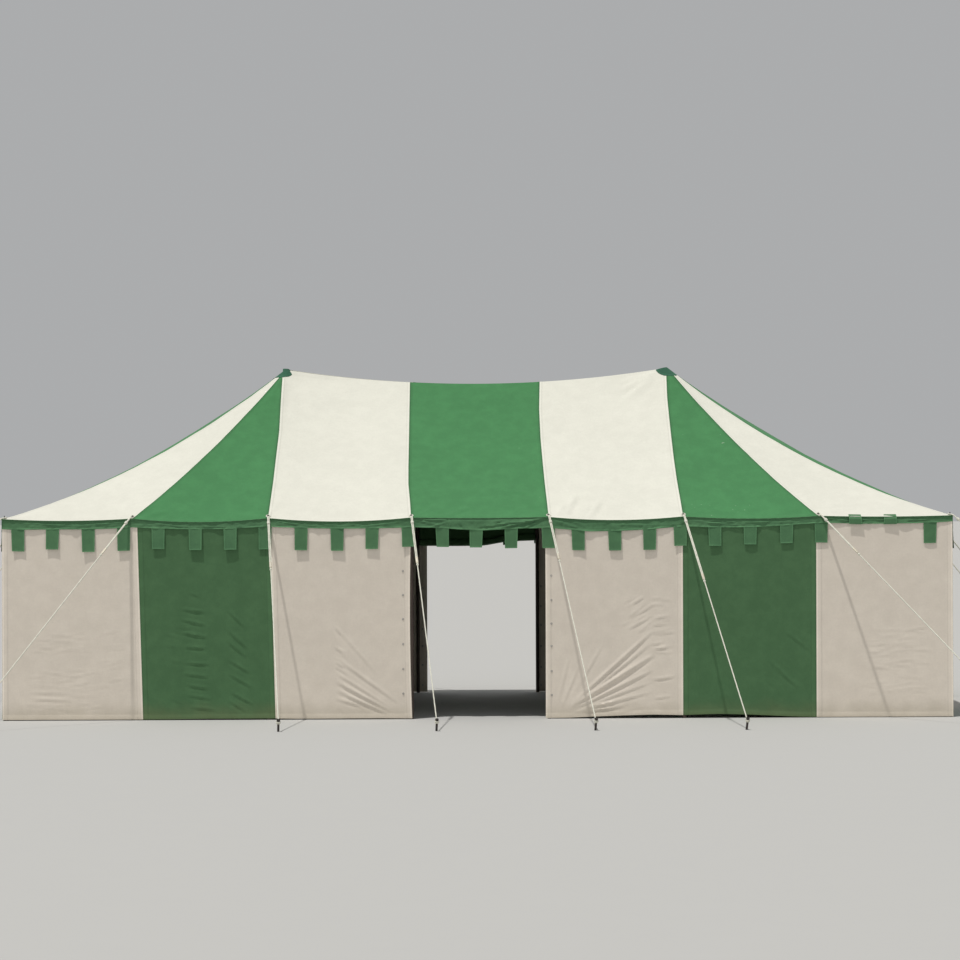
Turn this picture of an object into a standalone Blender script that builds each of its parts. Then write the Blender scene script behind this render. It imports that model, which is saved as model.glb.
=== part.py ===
"""Two-pole striped marquee tent: roof, walls, rolled-up door cloth, valance, poles and guys.

Metres, +Z up. The origin is on the ground at the middle of the tent, the long front with
its doorway faces -Y, and +X runs along the front.
"""

import math

import bmesh
import bpy
from mathutils import Matrix, Vector

# Plan: the tent is cut from cloths of one width, and a pole stands at every seam
BAY = 1.35
FRONT_BAYS = 7
END_BAYS = 3
GORE_BAYS = 2
DOOR_BAY = 3
# How far each front pole and roof seam stands from its even place, from left to right
FRONT_SHIFTS = (0.0, -0.052, -0.054, 0.018, 0.034, 0.024, 0.016, 0.0)
# How far the cloths left and right of a doorway reach past the even places of its poles
DOOR_LAPS = {"front": (0.025, -0.005), "rear": (0.105, 0.019)}

# Heights
EAVE_HEIGHT = 2.0
PEAK_HEIGHT = 3.57
HEM_ABOVE_GROUND = 0.012

# How far each line of the roof hangs below a straight one at its middle
RIDGE_SAG = 0.16
HIP_SAG = 0.19
SEAM_SAG = 0.08
END_SEAM_SAG = 0.14

# Cloth
ROOF_CLOTH = 0.002
WALL_CLOTH = 0.002
VALANCE_CLOTH = 0.003
CAP_CLOTH = 0.003
CAP_REACH = 0.108
PEAK_HOLE_REACH = 0.054

# Valance: a band with hanging tabs, two of them turned up, counted from the right end
BAND_DEPTH = 0.125
TAB_LENGTH = 0.195
TAB_WIDTH = 0.132
TAB_TIP_WIDTH = 0.122
TAB_PITCH = 0.351
FRONT_TABS_TURNED_UP = (-3, -2)
FOLD_HEIGHT = 0.006

# Poles
SIDE_POLE_RADIUS = 0.019
PIN_RADIUS = 0.005
PIN_RISE = 0.036
KING_POLE_RADIUS = 0.030
KING_TIP_RADIUS = 0.008
WALL_LINE_RADIUS = 0.004
WALL_LINE_DROP = 0.07

# Guy lines
GUY_RADIUS = 0.006
EAVE_ROPE_RADIUS = 0.004
LOOP_RADIUS = 0.0134
LOOP_RISE = 0.0105
PEG_DISTANCE = 1.5
PEG_RADIUS = 0.011
PEG_HEIGHT = 0.12
PEG_LEAN = 0.035
HITCH_HEIGHT = 0.085
SLIDER_LENGTH = 0.075
SLIDER_WIDTH = 0.026
SLIDER_THICKNESS = 0.015
# How far a corner peg stands along and away from its long side
CORNER_PEGS = {"front": (2.05, 0.9), "rear": (0.75, 1.5)}
# Sideways step of each peg from its pole, and drop of each slider, from left to right
GUY_SIDESTEPS = {
    "front": (-1.334, 0.194, 0.26, 0.388, 0.47, 1.64),
    "rear": (-1.69, -0.47, -0.39, 0.39, 0.47, 1.69),
}
SLIDER_DROPS = (0.35, 0.32, 0.46, 0.42, 0.39, 0.59, 0.345, 0.35)
END_SLIDER_DROP = 0.42

# Rear doorway's cloth, rolled up: how far the roll's middle lies under the eave from left to
# right, at these shares of the roll's half length
ROLL_RADIUS = 0.042
ROLL_DROPS = (0.303, 0.306, 0.258, 0.245)
ROLL_SHARES = (-1.0, 0.1, 0.5, 1.0)

# Gaps that keep neighbouring pieces apart
CLEARANCE = 0.0003
CAP_CLEARANCE = 0.0006

# Fineness of the curved pieces
CLOTH_ROWS = 7
STRIPE_COLUMNS = 3
POLE_SIDES = 10
ROPE_SIDES = 6
LOOP_STEPS = 10
ROLL_SIDES = 12

# Sizes that follow
HALF_LENGTH = FRONT_BAYS * BAY / 2
HALF_DEPTH = END_BAYS * BAY / 2
GORE_RUN = GORE_BAYS * BAY
PEAK_X = HALF_LENGTH - GORE_RUN
CAP_SHARE = CAP_REACH / GORE_RUN
HOLE_SHARE = PEAK_HOLE_REACH / GORE_RUN
UNDER_ROOF = EAVE_HEIGHT - ROOF_CLOTH / 2 - CLEARANCE
WALL_OUTER = VALANCE_CLOTH + CLEARANCE
WALL_INNER = WALL_OUTER + WALL_CLOTH
POLE_INSET = WALL_INNER + CLEARANCE + SIDE_POLE_RADIUS
WALL_LINE_INSET = WALL_INNER + CLEARANCE + WALL_LINE_RADIUS
EAVE_ROPE_OUT = CLEARANCE + EAVE_ROPE_RADIUS

CLOTH_GREEN = (0.062, 0.255, 0.095, 1.0)
CLOTH_WHITE = (0.78, 0.76, 0.68, 1.0)
CAP_GREEN = (0.035, 0.12, 0.055, 1.0)
POLE_WOOD = (0.42, 0.27, 0.13, 1.0)
ROPE_WHITE = (0.72, 0.70, 0.60, 1.0)


def clear_scene():
    for old in list(bpy.data.objects):
        bpy.data.objects.remove(old, do_unlink=True)


def make_material(name, colour, roughness, metallic=0.0):
    material = bpy.data.materials.new(name)
    material.use_nodes = True
    shader = material.node_tree.nodes["Principled BSDF"]
    shader.inputs["Base Color"].default_value = colour
    shader.inputs["Roughness"].default_value = roughness
    shader.inputs["Metallic"].default_value = metallic
    material.diffuse_color = colour
    return material


def add_object(name, mesh_builder, material):
    """Makes one object from a bmesh, faces out."""
    bmesh.ops.recalc_face_normals(mesh_builder, faces=mesh_builder.faces)
    mesh = bpy.data.meshes.new(name)
    mesh_builder.to_mesh(mesh)
    mesh_builder.free()
    mesh.materials.append(material)
    made = bpy.data.objects.new(name, mesh)
    bpy.context.scene.collection.objects.link(made)
    return made


def add_helper(name, mesh_builder, material):
    """Makes a shape that only cuts or joins others."""
    helper = add_object(name, mesh_builder, material)
    helper.hide_render = True
    helper.display_type = "WIRE"
    return helper


def cut_with(target, cutter):
    modifier = target.modifiers.new("cut by " + cutter.name, "BOOLEAN")
    modifier.operation = "DIFFERENCE"
    modifier.solver = "EXACT"
    modifier.object = cutter


def join_with(target, others):
    """Fuses the shapes of a helper collection onto the target."""
    group = bpy.data.collections.new(target.name + "_pieces")
    for other in others:
        group.objects.link(other)
    modifier = target.modifiers.new("join pieces", "BOOLEAN")
    modifier.operation = "UNION"
    modifier.solver = "EXACT"
    modifier.operand_type = "COLLECTION"
    modifier.collection = group


def add_box(builder, low, high):
    size = Vector(high) - Vector(low)
    middle = (Vector(high) + Vector(low)) / 2
    place = Matrix.Translation(middle) @ Matrix.Diagonal((size.x, size.y, size.z, 1.0))
    bmesh.ops.create_cube(builder, size=1.0, matrix=place)


def close_rings(builder, rings):
    """Skins rings of points in turn and caps the first and the last."""
    sides = len(rings[0])
    for first, second in zip(rings, rings[1:]):
        for step in range(sides):
            following = (step + 1) % sides
            builder.faces.new((first[step], first[following], second[following], second[step]))
    builder.faces.new(list(reversed(rings[0])))
    builder.faces.new(rings[-1])


def add_tube(builder, points, radius, sides):
    """Sweeps a round section through the points and closes both ends."""
    path = [Vector(point) for point in points]
    rings = []
    side = None
    for number, here in enumerate(path):
        before = path[max(number - 1, 0)]
        after = path[min(number + 1, len(path) - 1)]
        along = (after - before).normalized()
        if side is None:
            side = along.orthogonal().normalized()
        side = (side - along * side.dot(along)).normalized()
        other = along.cross(side)
        ring = []
        for step in range(sides):
            angle = 2 * math.pi * step / sides
            arm = side * math.cos(angle) + other * math.sin(angle)
            ring.append(builder.verts.new(here + arm * radius))
        rings.append(ring)
    close_rings(builder, rings)


def add_turned_pole(builder, x, y, heights, radii):
    """Stacks level rings, so a step in radius makes a flat shoulder."""
    rings = []
    for height, radius in zip(heights, radii):
        ring = []
        for step in range(POLE_SIDES):
            angle = 2 * math.pi * (step + 0.5) / POLE_SIDES
            arm = Vector((radius * math.cos(angle), radius * math.sin(angle), 0.0))
            ring.append(builder.verts.new(Vector((x, y, height)) + arm))
        rings.append(ring)
    close_rings(builder, rings)


def add_ring(builder, centre, axis, start, ring_radius, tube_radius, steps, sides):
    """A closed loop of rope around a pin, square to the axis and with its first point at start."""
    aside = axis.cross(start)
    loops = []
    for step in range(steps):
        turn = 2 * math.pi * step / steps
        outward = start * math.cos(turn) + aside * math.sin(turn)
        loop = []
        for number in range(sides):
            angle = 2 * math.pi * number / sides
            reach = ring_radius + tube_radius * math.cos(angle)
            height = axis * tube_radius * math.sin(angle)
            loop.append(builder.verts.new(centre + outward * reach + height))
        loops.append(loop)
    for step in range(steps):
        first = loops[step]
        second = loops[(step + 1) % steps]
        for number in range(sides):
            following = (number + 1) % sides
            builder.faces.new((first[number], second[number], second[following], first[following]))


# Roof surface

def ridge_height(x):
    share = (x + PEAK_X) / (2 * PEAK_X)
    return PEAK_HEIGHT - 4 * RIDGE_SAG * share * (1 - share)


def roof_height(x, y):
    """Height of the middle of the roof cloth over a point of the plan."""
    across = abs(x)
    back = abs(y)
    if across <= PEAK_X:
        top = ridge_height(across)
        rise = 1 - back / HALF_DEPTH
        sag = SEAM_SAG
    else:
        top = PEAK_HEIGHT
        seam_sag = SEAM_SAG
        run = across - PEAK_X
        if back * GORE_RUN >= run * HALF_DEPTH:
            rise = 1 - back / HALF_DEPTH
            seam = run * HALF_DEPTH / back / BAY
            near_hip = max(0.0, seam - (GORE_BAYS - 1))
        else:
            rise = 1 - run / GORE_RUN
            seam = back * GORE_RUN / run / BAY
            near_hip = max(0.0, seam - (END_BAYS / 2 - 1))
            seam_sag = END_SEAM_SAG
        sag = seam_sag + (HIP_SAG - seam_sag) * min(1.0, near_hip)
    return EAVE_HEIGHT + (top - EAVE_HEIGHT) * rise - 4 * sag * rise * (1 - rise)


def roof_normal(x, y):
    """The way that the roof faces over a point of the plan."""
    step = 0.01
    slope_x = (roof_height(x + step, y) - roof_height(x - step, y)) / (2 * step)
    slope_y = (roof_height(x, y + step) - roof_height(x, y - step)) / (2 * step)
    return Vector((-slope_x, -slope_y, 1.0)).normalized()


def front_shift(x, y):
    """How far a point of the roof moves sideways where the front's seams stand unevenly."""
    back = -y
    across = abs(x)
    if back <= 0:
        return 0.0
    foot = across
    if across > PEAK_X:
        foot = PEAK_X + (across - PEAK_X) * HALF_DEPTH / back
    if foot >= HALF_LENGTH:
        return 0.0
    place = (math.copysign(foot, x) + HALF_LENGTH) / BAY
    number = int(place)
    share = place - number
    shift = FRONT_SHIFTS[number] * (1 - share) + FRONT_SHIFTS[number + 1] * share
    return shift * back / HALF_DEPTH


def add_sheet(builder, rows, thickness):
    """A closed thin sheet over rows of plan points that follow the roof."""
    top_rows = []
    under_rows = []
    for row in rows:
        top_row = []
        under_row = []
        for x, y in row:
            middle = roof_height(x, y)
            place = x + front_shift(x, y)
            top_row.append(builder.verts.new((place, y, middle + thickness / 2)))
            under_row.append(builder.verts.new((place, y, middle - thickness / 2)))
        top_rows.append(top_row)
        under_rows.append(under_row)
    last_row = len(rows) - 1
    last_column = len(rows[0]) - 1
    for r in range(last_row):
        for c in range(last_column):
            for grid in (top_rows, under_rows):
                builder.faces.new((grid[r][c], grid[r][c + 1], grid[r + 1][c + 1], grid[r + 1][c]))
    rim = [(0, c) for c in range(last_column)]
    rim += [(r, last_column) for r in range(last_row)]
    rim += [(last_row, c) for c in range(last_column, 0, -1)]
    rim += [(r, 0) for r in range(last_row, 0, -1)]
    for here, there in zip(rim, rim[1:] + rim[:1]):
        upper = (top_rows[here[0]][here[1]], top_rows[there[0]][there[1]])
        lower = (under_rows[there[0]][there[1]], under_rows[here[0]][here[1]])
        builder.faces.new(upper + lower)


def row_between(left, right, shares):
    """Plan points between two seams, held half a gap off each seam."""
    start = Vector(left)
    end = Vector(right)
    step = (end - start).normalized() * (CLEARANCE / 2)
    start += step
    end -= step
    return [tuple(start.lerp(end, share)) for share in shares]


def gore_rows(eave_left, eave_right, peak):
    """Rows of a cloth that narrows from two eave points to the hole at a peak."""
    top = 1 - HOLE_SHARE
    rises = [(1 - CAP_SHARE) * row / CLOTH_ROWS for row in range(CLOTH_ROWS + 1)] + [top]
    rows = []
    for rise in rises:
        left = Vector(eave_left).lerp(Vector(peak), rise)
        right = Vector(eave_right).lerp(Vector(peak), rise)
        rows.append(row_between(left, right, (0.0, 1.0)))
    return rows


def stripe_rows(left_x, right_x, eave_y):
    """Rows of a cloth that runs straight from the eave to the ridge."""
    toward_ridge = math.copysign(1.0, -eave_y)
    cap_column = CAP_REACH / BAY
    inner = [cap_column + (1 - 2 * cap_column) * n / STRIPE_COLUMNS for n in range(STRIPE_COLUMNS + 1)]
    shares = [0.0] + inner + [1.0]
    rises = [(1 - CAP_SHARE) * row / CLOTH_ROWS for row in range(CLOTH_ROWS + 1)] + [1.0]
    rows = []
    for rise in rises:
        y = eave_y * (1 - rise)
        if rise == 1.0:
            y = -toward_ridge * CLEARANCE / 2
        rows.append(row_between((left_x, y), (right_x, y), shares))
    return rows


def bay_colour(number, materials):
    """Cloths alternate, starting and ending with white along the front."""
    return materials["white"] if number % 2 == 0 else materials["green"]


def make_roof(materials, pin_cutter, peak_cutter):
    left_peak = (-PEAK_X, 0.0)
    right_peak = (PEAK_X, 0.0)
    for side, eave_y in (("front", -HALF_DEPTH), ("rear", HALF_DEPTH)):
        for bay in range(FRONT_BAYS):
            left_x = -HALF_LENGTH + bay * BAY
            right_x = left_x + BAY
            builder = bmesh.new()
            over_ridge = GORE_BAYS <= bay < FRONT_BAYS - GORE_BAYS
            if over_ridge:
                add_sheet(builder, stripe_rows(left_x, right_x, eave_y), ROOF_CLOTH)
            else:
                peak = left_peak if bay < GORE_BAYS else right_peak
                rows = gore_rows((left_x, eave_y), (right_x, eave_y), peak)
                add_sheet(builder, rows, ROOF_CLOTH)
            name = f"roof_{side}_cloth_{bay + 1}"
            cloth = add_object(name, builder, bay_colour(bay, materials))
            cut_with(cloth, pin_cutter)
            if over_ridge:
                cut_with(cloth, peak_cutter)
    for side, eave_x, peak in (
        ("left", -HALF_LENGTH, left_peak),
        ("right", HALF_LENGTH, right_peak),
    ):
        for bay in range(END_BAYS):
            front_y = -HALF_DEPTH + bay * BAY
            builder = bmesh.new()
            rows = gore_rows((eave_x, front_y), (eave_x, front_y + BAY), peak)
            add_sheet(builder, rows, ROOF_CLOTH)
            name = f"roof_{side}_cloth_{bay + 1}"
            cloth = add_object(name, builder, bay_colour(bay + 1, materials))
            cut_with(cloth, pin_cutter)


def make_peak_caps(materials):
    """A reinforcing patch that sits over each peak."""
    lift = ROOF_CLOTH / 2 + CAP_CLEARANCE + CAP_CLOTH / 2
    for side, sign in (("left", -1), ("right", 1)):
        outlines = []
        for share in (CAP_SHARE, HOLE_SHARE):
            x_reach = GORE_RUN * share
            y_reach = HALF_DEPTH * share
            ring = [(-x_reach, 0.0), (-x_reach, -y_reach), (0.0, -y_reach)]
            ring += [(BAY * share * n, -y_reach) for n in range(1, GORE_BAYS + 1)]
            ring += [(x_reach, (n - END_BAYS / 2) * BAY * share) for n in range(1, END_BAYS)]
            ring += [(BAY * share * n, y_reach) for n in range(GORE_BAYS, 0, -1)]
            ring += [(0.0, y_reach), (-x_reach, y_reach)]
            outlines.append(ring)
        builder = bmesh.new()
        layers = []
        for half in (CAP_CLOTH / 2, -CAP_CLOTH / 2):
            layer = []
            for ring in outlines:
                corners = []
                for x, y in ring:
                    place = sign * (PEAK_X + x)
                    height = roof_height(place, y) + lift + half
                    corners.append(builder.verts.new((place + front_shift(place, y), y, height)))
                layer.append(corners)
            tip = builder.verts.new((sign * PEAK_X, 0.0, PEAK_HEIGHT + lift + half))
            layers.append((layer, tip))
        count = len(outlines[0])
        for (outer, inner), tip in layers:
            for n in range(count):
                m = (n + 1) % count
                builder.faces.new((outer[n], outer[m], inner[m], inner[n]))
                builder.faces.new((inner[n], inner[m], tip))
        top_rim = layers[0][0][0]
        under_rim = layers[1][0][0]
        for n in range(count):
            m = (n + 1) % count
            builder.faces.new((top_rim[n], top_rim[m], under_rim[m], under_rim[n]))
        add_object(f"{side}_peak_cap", builder, materials["cap"])


def make_walls(materials):
    """One cloth a bay, from under the roof edge to just above the ground."""
    half_gap = CLEARANCE / 2
    for side, sign in (("front", -1), ("rear", 1)):
        outer = sign * (HALF_DEPTH - WALL_OUTER)
        inner = sign * (HALF_DEPTH - WALL_INNER)
        for bay in range(FRONT_BAYS):
            if bay == DOOR_BAY:
                continue
            left = -HALF_LENGTH + bay * BAY + half_gap
            right = -HALF_LENGTH + (bay + 1) * BAY - half_gap
            if bay == 0:
                left = -HALF_LENGTH + WALL_OUTER
            elif bay == DOOR_BAY - 1:
                right += DOOR_LAPS[side][0]
            elif bay == DOOR_BAY + 1:
                left -= DOOR_LAPS[side][1]
            elif bay == FRONT_BAYS - 1:
                right = HALF_LENGTH - WALL_OUTER
            builder = bmesh.new()
            add_box(
                builder,
                (left, min(outer, inner), HEM_ABOVE_GROUND),
                (right, max(outer, inner), UNDER_ROOF),
            )
            add_object(f"{side}_wall_cloth_{bay + 1}", builder, bay_colour(bay, materials))
    for side, sign in (("left", -1), ("right", 1)):
        outer = sign * (HALF_LENGTH - WALL_OUTER)
        inner = sign * (HALF_LENGTH - WALL_INNER)
        for bay in range(END_BAYS):
            corner = HALF_DEPTH - WALL_INNER - CLEARANCE
            front = -corner if bay == 0 else -HALF_DEPTH + bay * BAY + half_gap
            rear = corner if bay == END_BAYS - 1 else -HALF_DEPTH + (bay + 1) * BAY - half_gap
            builder = bmesh.new()
            add_box(
                builder,
                (min(outer, inner), front, HEM_ABOVE_GROUND),
                (max(outer, inner), rear, UNDER_ROOF),
            )
            add_object(f"{side}_wall_cloth_{bay + 1}", builder, bay_colour(bay + 1, materials))


def make_rear_door_cloth(materials):
    """The rear doorway's cloth: a strip from the eave with the rest rolled up at its foot."""
    outer = HALF_DEPTH - WALL_INNER - CLEARANCE
    inner = outer - WALL_CLOTH
    middle = outer - ROLL_RADIUS
    half_width = BAY / 2 - SIDE_POLE_RADIUS - CLEARANCE
    turns = [-2 * math.pi * step / ROLL_SIDES for step in range(ROLL_SIDES)]
    turns.append(math.acos((inner - middle) / ROLL_RADIUS))
    builder = bmesh.new()
    rings = []
    for share, drop in zip(ROLL_SHARES, ROLL_DROPS):
        height = EAVE_HEIGHT - drop
        profile = [(outer, UNDER_ROOF)]
        for turn in turns:
            y = middle + ROLL_RADIUS * math.cos(turn)
            profile.append((y, height + ROLL_RADIUS * math.sin(turn)))
        profile.append((inner, UNDER_ROOF))
        rings.append([builder.verts.new((share * half_width, y, z)) for y, z in profile])
    close_rings(builder, rings)
    add_object("rear_door_cloth_rolled", builder, materials["green"])


def tab_centres(length):
    """Evenly pitched places along a band, even about its middle."""
    count = int((length - TAB_WIDTH) / TAB_PITCH) + 1
    first = -(count - 1) * TAB_PITCH / 2
    return [first + number * TAB_PITCH for number in range(count)]


def valance_outline(half_length, turned_up):
    """The band's outline with its hanging tabs, as (along, height) points."""
    band_foot = UNDER_ROOF - BAND_DEPTH
    tab_foot = band_foot - TAB_LENGTH
    points = [(-half_length, UNDER_ROOF), (-half_length, band_foot)]
    centres = tab_centres(2 * half_length)
    for number, centre in enumerate(centres):
        if number - len(centres) in turned_up:
            continue
        points += [
            (centre - TAB_WIDTH / 2, band_foot),
            (centre - TAB_TIP_WIDTH / 2, tab_foot),
            (centre + TAB_TIP_WIDTH / 2, tab_foot),
            (centre + TAB_WIDTH / 2, band_foot),
        ]
    return points + [(half_length, band_foot), (half_length, UNDER_ROOF)]


def add_valance_band(builder, half_length, turned_up, place):
    """Cuts the band from flat cloth and stands it up; place turns (along, out, up) to a point."""
    points = valance_outline(half_length, turned_up)
    front = [builder.verts.new(place(along, 0.0, up)) for along, up in points]
    back = [builder.verts.new(place(along, -VALANCE_CLOTH, up)) for along, up in points]
    builder.faces.new(front)
    builder.faces.new(list(reversed(back)))
    for n in range(len(points)):
        m = (n + 1) % len(points)
        builder.faces.new((front[n], back[n], back[m], front[m]))


def make_turned_up_tabs(material):
    """Tabs folded up at their root, lying over the band and the eave rope."""
    centres = tab_centres(2 * HALF_LENGTH)
    band_foot = UNDER_ROOF - BAND_DEPTH
    near = -HALF_DEPTH - EAVE_ROPE_OUT - EAVE_ROPE_RADIUS - CLEARANCE
    far = near - VALANCE_CLOTH
    helpers = []
    for number in FRONT_TABS_TURNED_UP:
        left = centres[number] - TAB_TIP_WIDTH / 2
        right = centres[number] + TAB_TIP_WIDTH / 2
        builder = bmesh.new()
        add_box(builder, (left, far, band_foot), (right, near, band_foot + TAB_LENGTH))
        helpers.append(add_helper(f"turned_up_tab_{-number}", builder, material))
        builder = bmesh.new()
        fold_back = -HALF_DEPTH + VALANCE_CLOTH / 2
        fold_top = band_foot + FOLD_HEIGHT
        add_box(builder, (left, (near + far) / 2, band_foot - CLEARANCE), (right, fold_back, fold_top))
        helpers.append(add_helper(f"fold_{-number}", builder, material))
    return helpers


def make_valances(materials):
    for side, sign in (("front", -1), ("rear", 1)):
        builder = bmesh.new()
        turned_up = FRONT_TABS_TURNED_UP if side == "front" else ()
        add_valance_band(
            builder,
            HALF_LENGTH,
            turned_up,
            lambda along, out, up, sign=sign: (along, sign * (HALF_DEPTH + out), up),
        )
        band = add_object(f"{side}_valance", builder, materials["green"])
        if side == "front":
            join_with(band, make_turned_up_tabs(materials["green"]))
    half_end = HALF_DEPTH - VALANCE_CLOTH - CLEARANCE
    for side, sign in (("left", -1), ("right", 1)):
        builder = bmesh.new()
        add_valance_band(
            builder,
            half_end,
            (),
            lambda along, out, up, sign=sign: (sign * (HALF_LENGTH + out), along, up),
        )
        add_object(f"{side}_valance", builder, materials["green"])


# Poles and guy lines

def long_joint_x(number, side):
    """Where a pole of a long side stands; the corner ones are set in from the end walls."""
    place = -HALF_LENGTH + number * BAY
    if side == "front":
        place += FRONT_SHIFTS[number]
    limit = HALF_LENGTH - POLE_INSET
    return max(-limit, min(limit, place))


def end_joint_y(number):
    return -HALF_DEPTH + number * BAY


def make_king_poles(materials):
    steepest = (PEAK_HEIGHT - EAVE_HEIGHT + 4 * SEAM_SAG) / HALF_DEPTH
    shoulder = PEAK_HEIGHT - KING_POLE_RADIUS * steepest
    tip = PEAK_HEIGHT + ROOF_CLOTH / 2 + CAP_CLEARANCE - KING_TIP_RADIUS * steepest - CLEARANCE
    for side, x in (("left", -PEAK_X), ("right", PEAK_X)):
        builder = bmesh.new()
        radii = (KING_POLE_RADIUS, KING_POLE_RADIUS, KING_TIP_RADIUS)
        add_turned_pole(builder, x, 0.0, (0.0, shoulder, tip), radii)
        add_object(f"{side}_king_pole", builder, materials["wood"])


def make_pole_group(name, places, line_ends, materials):
    """Side poles with their pins, tied by the line that the wall hangs from."""
    line_height = EAVE_HEIGHT - WALL_LINE_DROP
    builder = bmesh.new()
    points = [(x, y, line_height) for x, y in line_ends]
    add_tube(builder, points, WALL_LINE_RADIUS, ROPE_SIDES)
    group = add_object(name, builder, materials["wood"])
    helpers = []
    for number, (x, y) in enumerate(places):
        builder = bmesh.new()
        heights = (0.0, UNDER_ROOF, UNDER_ROOF, EAVE_HEIGHT + PIN_RISE)
        radii = (SIDE_POLE_RADIUS, SIDE_POLE_RADIUS, PIN_RADIUS, PIN_RADIUS)
        add_turned_pole(builder, x, y, heights, radii)
        helpers.append(add_helper(f"{name}_{number + 1}_shape", builder, materials["wood"]))
    join_with(group, helpers)


def make_side_poles(materials):
    for side, sign in (("front", -1), ("rear", 1)):
        pole_y = sign * (HALF_DEPTH - POLE_INSET)
        line_y = sign * (HALF_DEPTH - WALL_LINE_INSET)
        halves = (
            ("left", range(0, DOOR_BAY + 1)),
            ("right", range(DOOR_BAY + 1, FRONT_BAYS + 1)),
        )
        for half, numbers in halves:
            places = [(long_joint_x(number, side), pole_y) for number in numbers]
            ends = [(places[0][0], line_y), (places[-1][0], line_y)]
            make_pole_group(f"{side}_{half}_side_poles", places, ends, materials)
    for side, sign in (("left", -1), ("right", 1)):
        pole_x = sign * (HALF_LENGTH - POLE_INSET)
        line_x = sign * (HALF_LENGTH - WALL_LINE_INSET)
        places = [(pole_x, end_joint_y(number)) for number in range(1, END_BAYS)]
        ends = [(line_x, places[0][1]), (line_x, places[-1][1])]
        make_pole_group(f"{side}_side_poles", places, ends, materials)


def guy_shapes(name, pin, over, peg, slider_drop, material):
    """One guy: loop on the pin, line over the eave rope to the peg, slider and peg."""
    helpers = []
    loop_centre = Vector((pin[0], pin[1], roof_height(*pin) + LOOP_RISE))
    axis = roof_normal(*pin)
    outward = Vector((over[0] - pin[0], over[1] - pin[1], 0.0)).normalized()
    outward = (outward - axis * outward.dot(axis)).normalized()
    builder = bmesh.new()
    add_ring(
        builder, loop_centre, axis, outward, LOOP_RADIUS, GUY_RADIUS, LOOP_STEPS, ROPE_SIDES
    )
    helpers.append(add_helper(name + "_loop", builder, material))

    crossing = Vector((over[0], over[1], EAVE_HEIGHT + GUY_RADIUS))
    start = loop_centre + outward * LOOP_RADIUS
    away = Vector((peg[0] - over[0], peg[1] - over[1], 0.0)).normalized()
    peg_foot = Vector((peg[0], peg[1], 0.0))
    peg_top = peg_foot + away * PEG_LEAN + Vector((0.0, 0.0, PEG_HEIGHT))
    hitch = peg_foot.lerp(peg_top, HITCH_HEIGHT / PEG_HEIGHT)
    builder = bmesh.new()
    add_tube(builder, (start, crossing, hitch), GUY_RADIUS, ROPE_SIDES)
    helpers.append(add_helper(name + "_line", builder, material))

    slope = (hitch - crossing).normalized()
    level = slope.cross(Vector((0.0, 0.0, 1.0))).normalized()
    facing = slope.cross(level)
    middle = crossing + (hitch - crossing) * (slider_drop / (crossing.z - hitch.z))
    turn = Matrix((slope, level, facing)).transposed().to_4x4()
    sizes = Matrix.Diagonal((SLIDER_LENGTH, SLIDER_WIDTH, SLIDER_THICKNESS, 1.0))
    builder = bmesh.new()
    bmesh.ops.create_cube(builder, size=1.0, matrix=Matrix.Translation(middle) @ turn @ sizes)
    helpers.append(add_helper(name + "_slider", builder, material))

    builder = bmesh.new()
    rings = []
    for centre in (peg_foot, peg_top):
        ring = []
        for step in range(ROPE_SIDES):
            angle = 2 * math.pi * step / ROPE_SIDES
            arm = Vector((math.cos(angle), math.sin(angle), 0.0)) * PEG_RADIUS
            ring.append(builder.verts.new(centre + arm))
        rings.append(ring)
    close_rings(builder, rings)
    helpers.append(add_helper(name + "_peg", builder, material))
    return helpers


def make_guy_lines(materials):
    """Each side's guys share the rope that is sewn along the roof's edge."""
    rope = materials["rope"]
    eave_y = HALF_DEPTH + EAVE_ROPE_OUT
    eave_x = HALF_LENGTH + EAVE_ROPE_OUT
    for side, sign in (("front", -1), ("rear", 1)):
        name = f"{side}_guy_lines"
        builder = bmesh.new()
        ends = [(x, sign * eave_y, EAVE_HEIGHT) for x in (-eave_x, eave_x)]
        add_tube(builder, ends, EAVE_ROPE_RADIUS, ROPE_SIDES)
        group = add_object(name, builder, rope)
        helpers = []
        for number in range(FRONT_BAYS + 1):
            pin = (long_joint_x(number, side), sign * (HALF_DEPTH - POLE_INSET))
            if number in (0, FRONT_BAYS):
                end_sign = -1 if number == 0 else 1
                along, away = CORNER_PEGS[side]
                over = (end_sign * eave_x, sign * eave_y)
                peg = (over[0] + end_sign * along, over[1] + sign * away)
            else:
                step = GUY_SIDESTEPS[side][number - 1]
                lead = step * (POLE_INSET + EAVE_ROPE_OUT) / PEG_DISTANCE
                over = (pin[0] + lead, sign * eave_y)
                peg = (over[0] + step, over[1] + sign * PEG_DISTANCE)
            drop = SLIDER_DROPS[number]
            helpers += guy_shapes(f"{name}_{number + 1}", pin, over, peg, drop, rope)
        join_with(group, helpers)
    for side, sign in (("left", -1), ("right", 1)):
        name = f"{side}_guy_lines"
        builder = bmesh.new()
        reach = HALF_DEPTH - POLE_INSET
        ends = [(sign * eave_x, y, EAVE_HEIGHT) for y in (-reach, reach)]
        add_tube(builder, ends, EAVE_ROPE_RADIUS, ROPE_SIDES)
        group = add_object(name, builder, rope)
        helpers = []
        for number in range(1, END_BAYS):
            pin = (sign * (HALF_LENGTH - POLE_INSET), end_joint_y(number))
            over = (sign * eave_x, pin[1])
            peg = (over[0] + sign * PEG_DISTANCE, pin[1])
            helpers += guy_shapes(f"{name}_{number}", pin, over, peg, END_SLIDER_DROP, rope)
        join_with(group, helpers)


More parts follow.
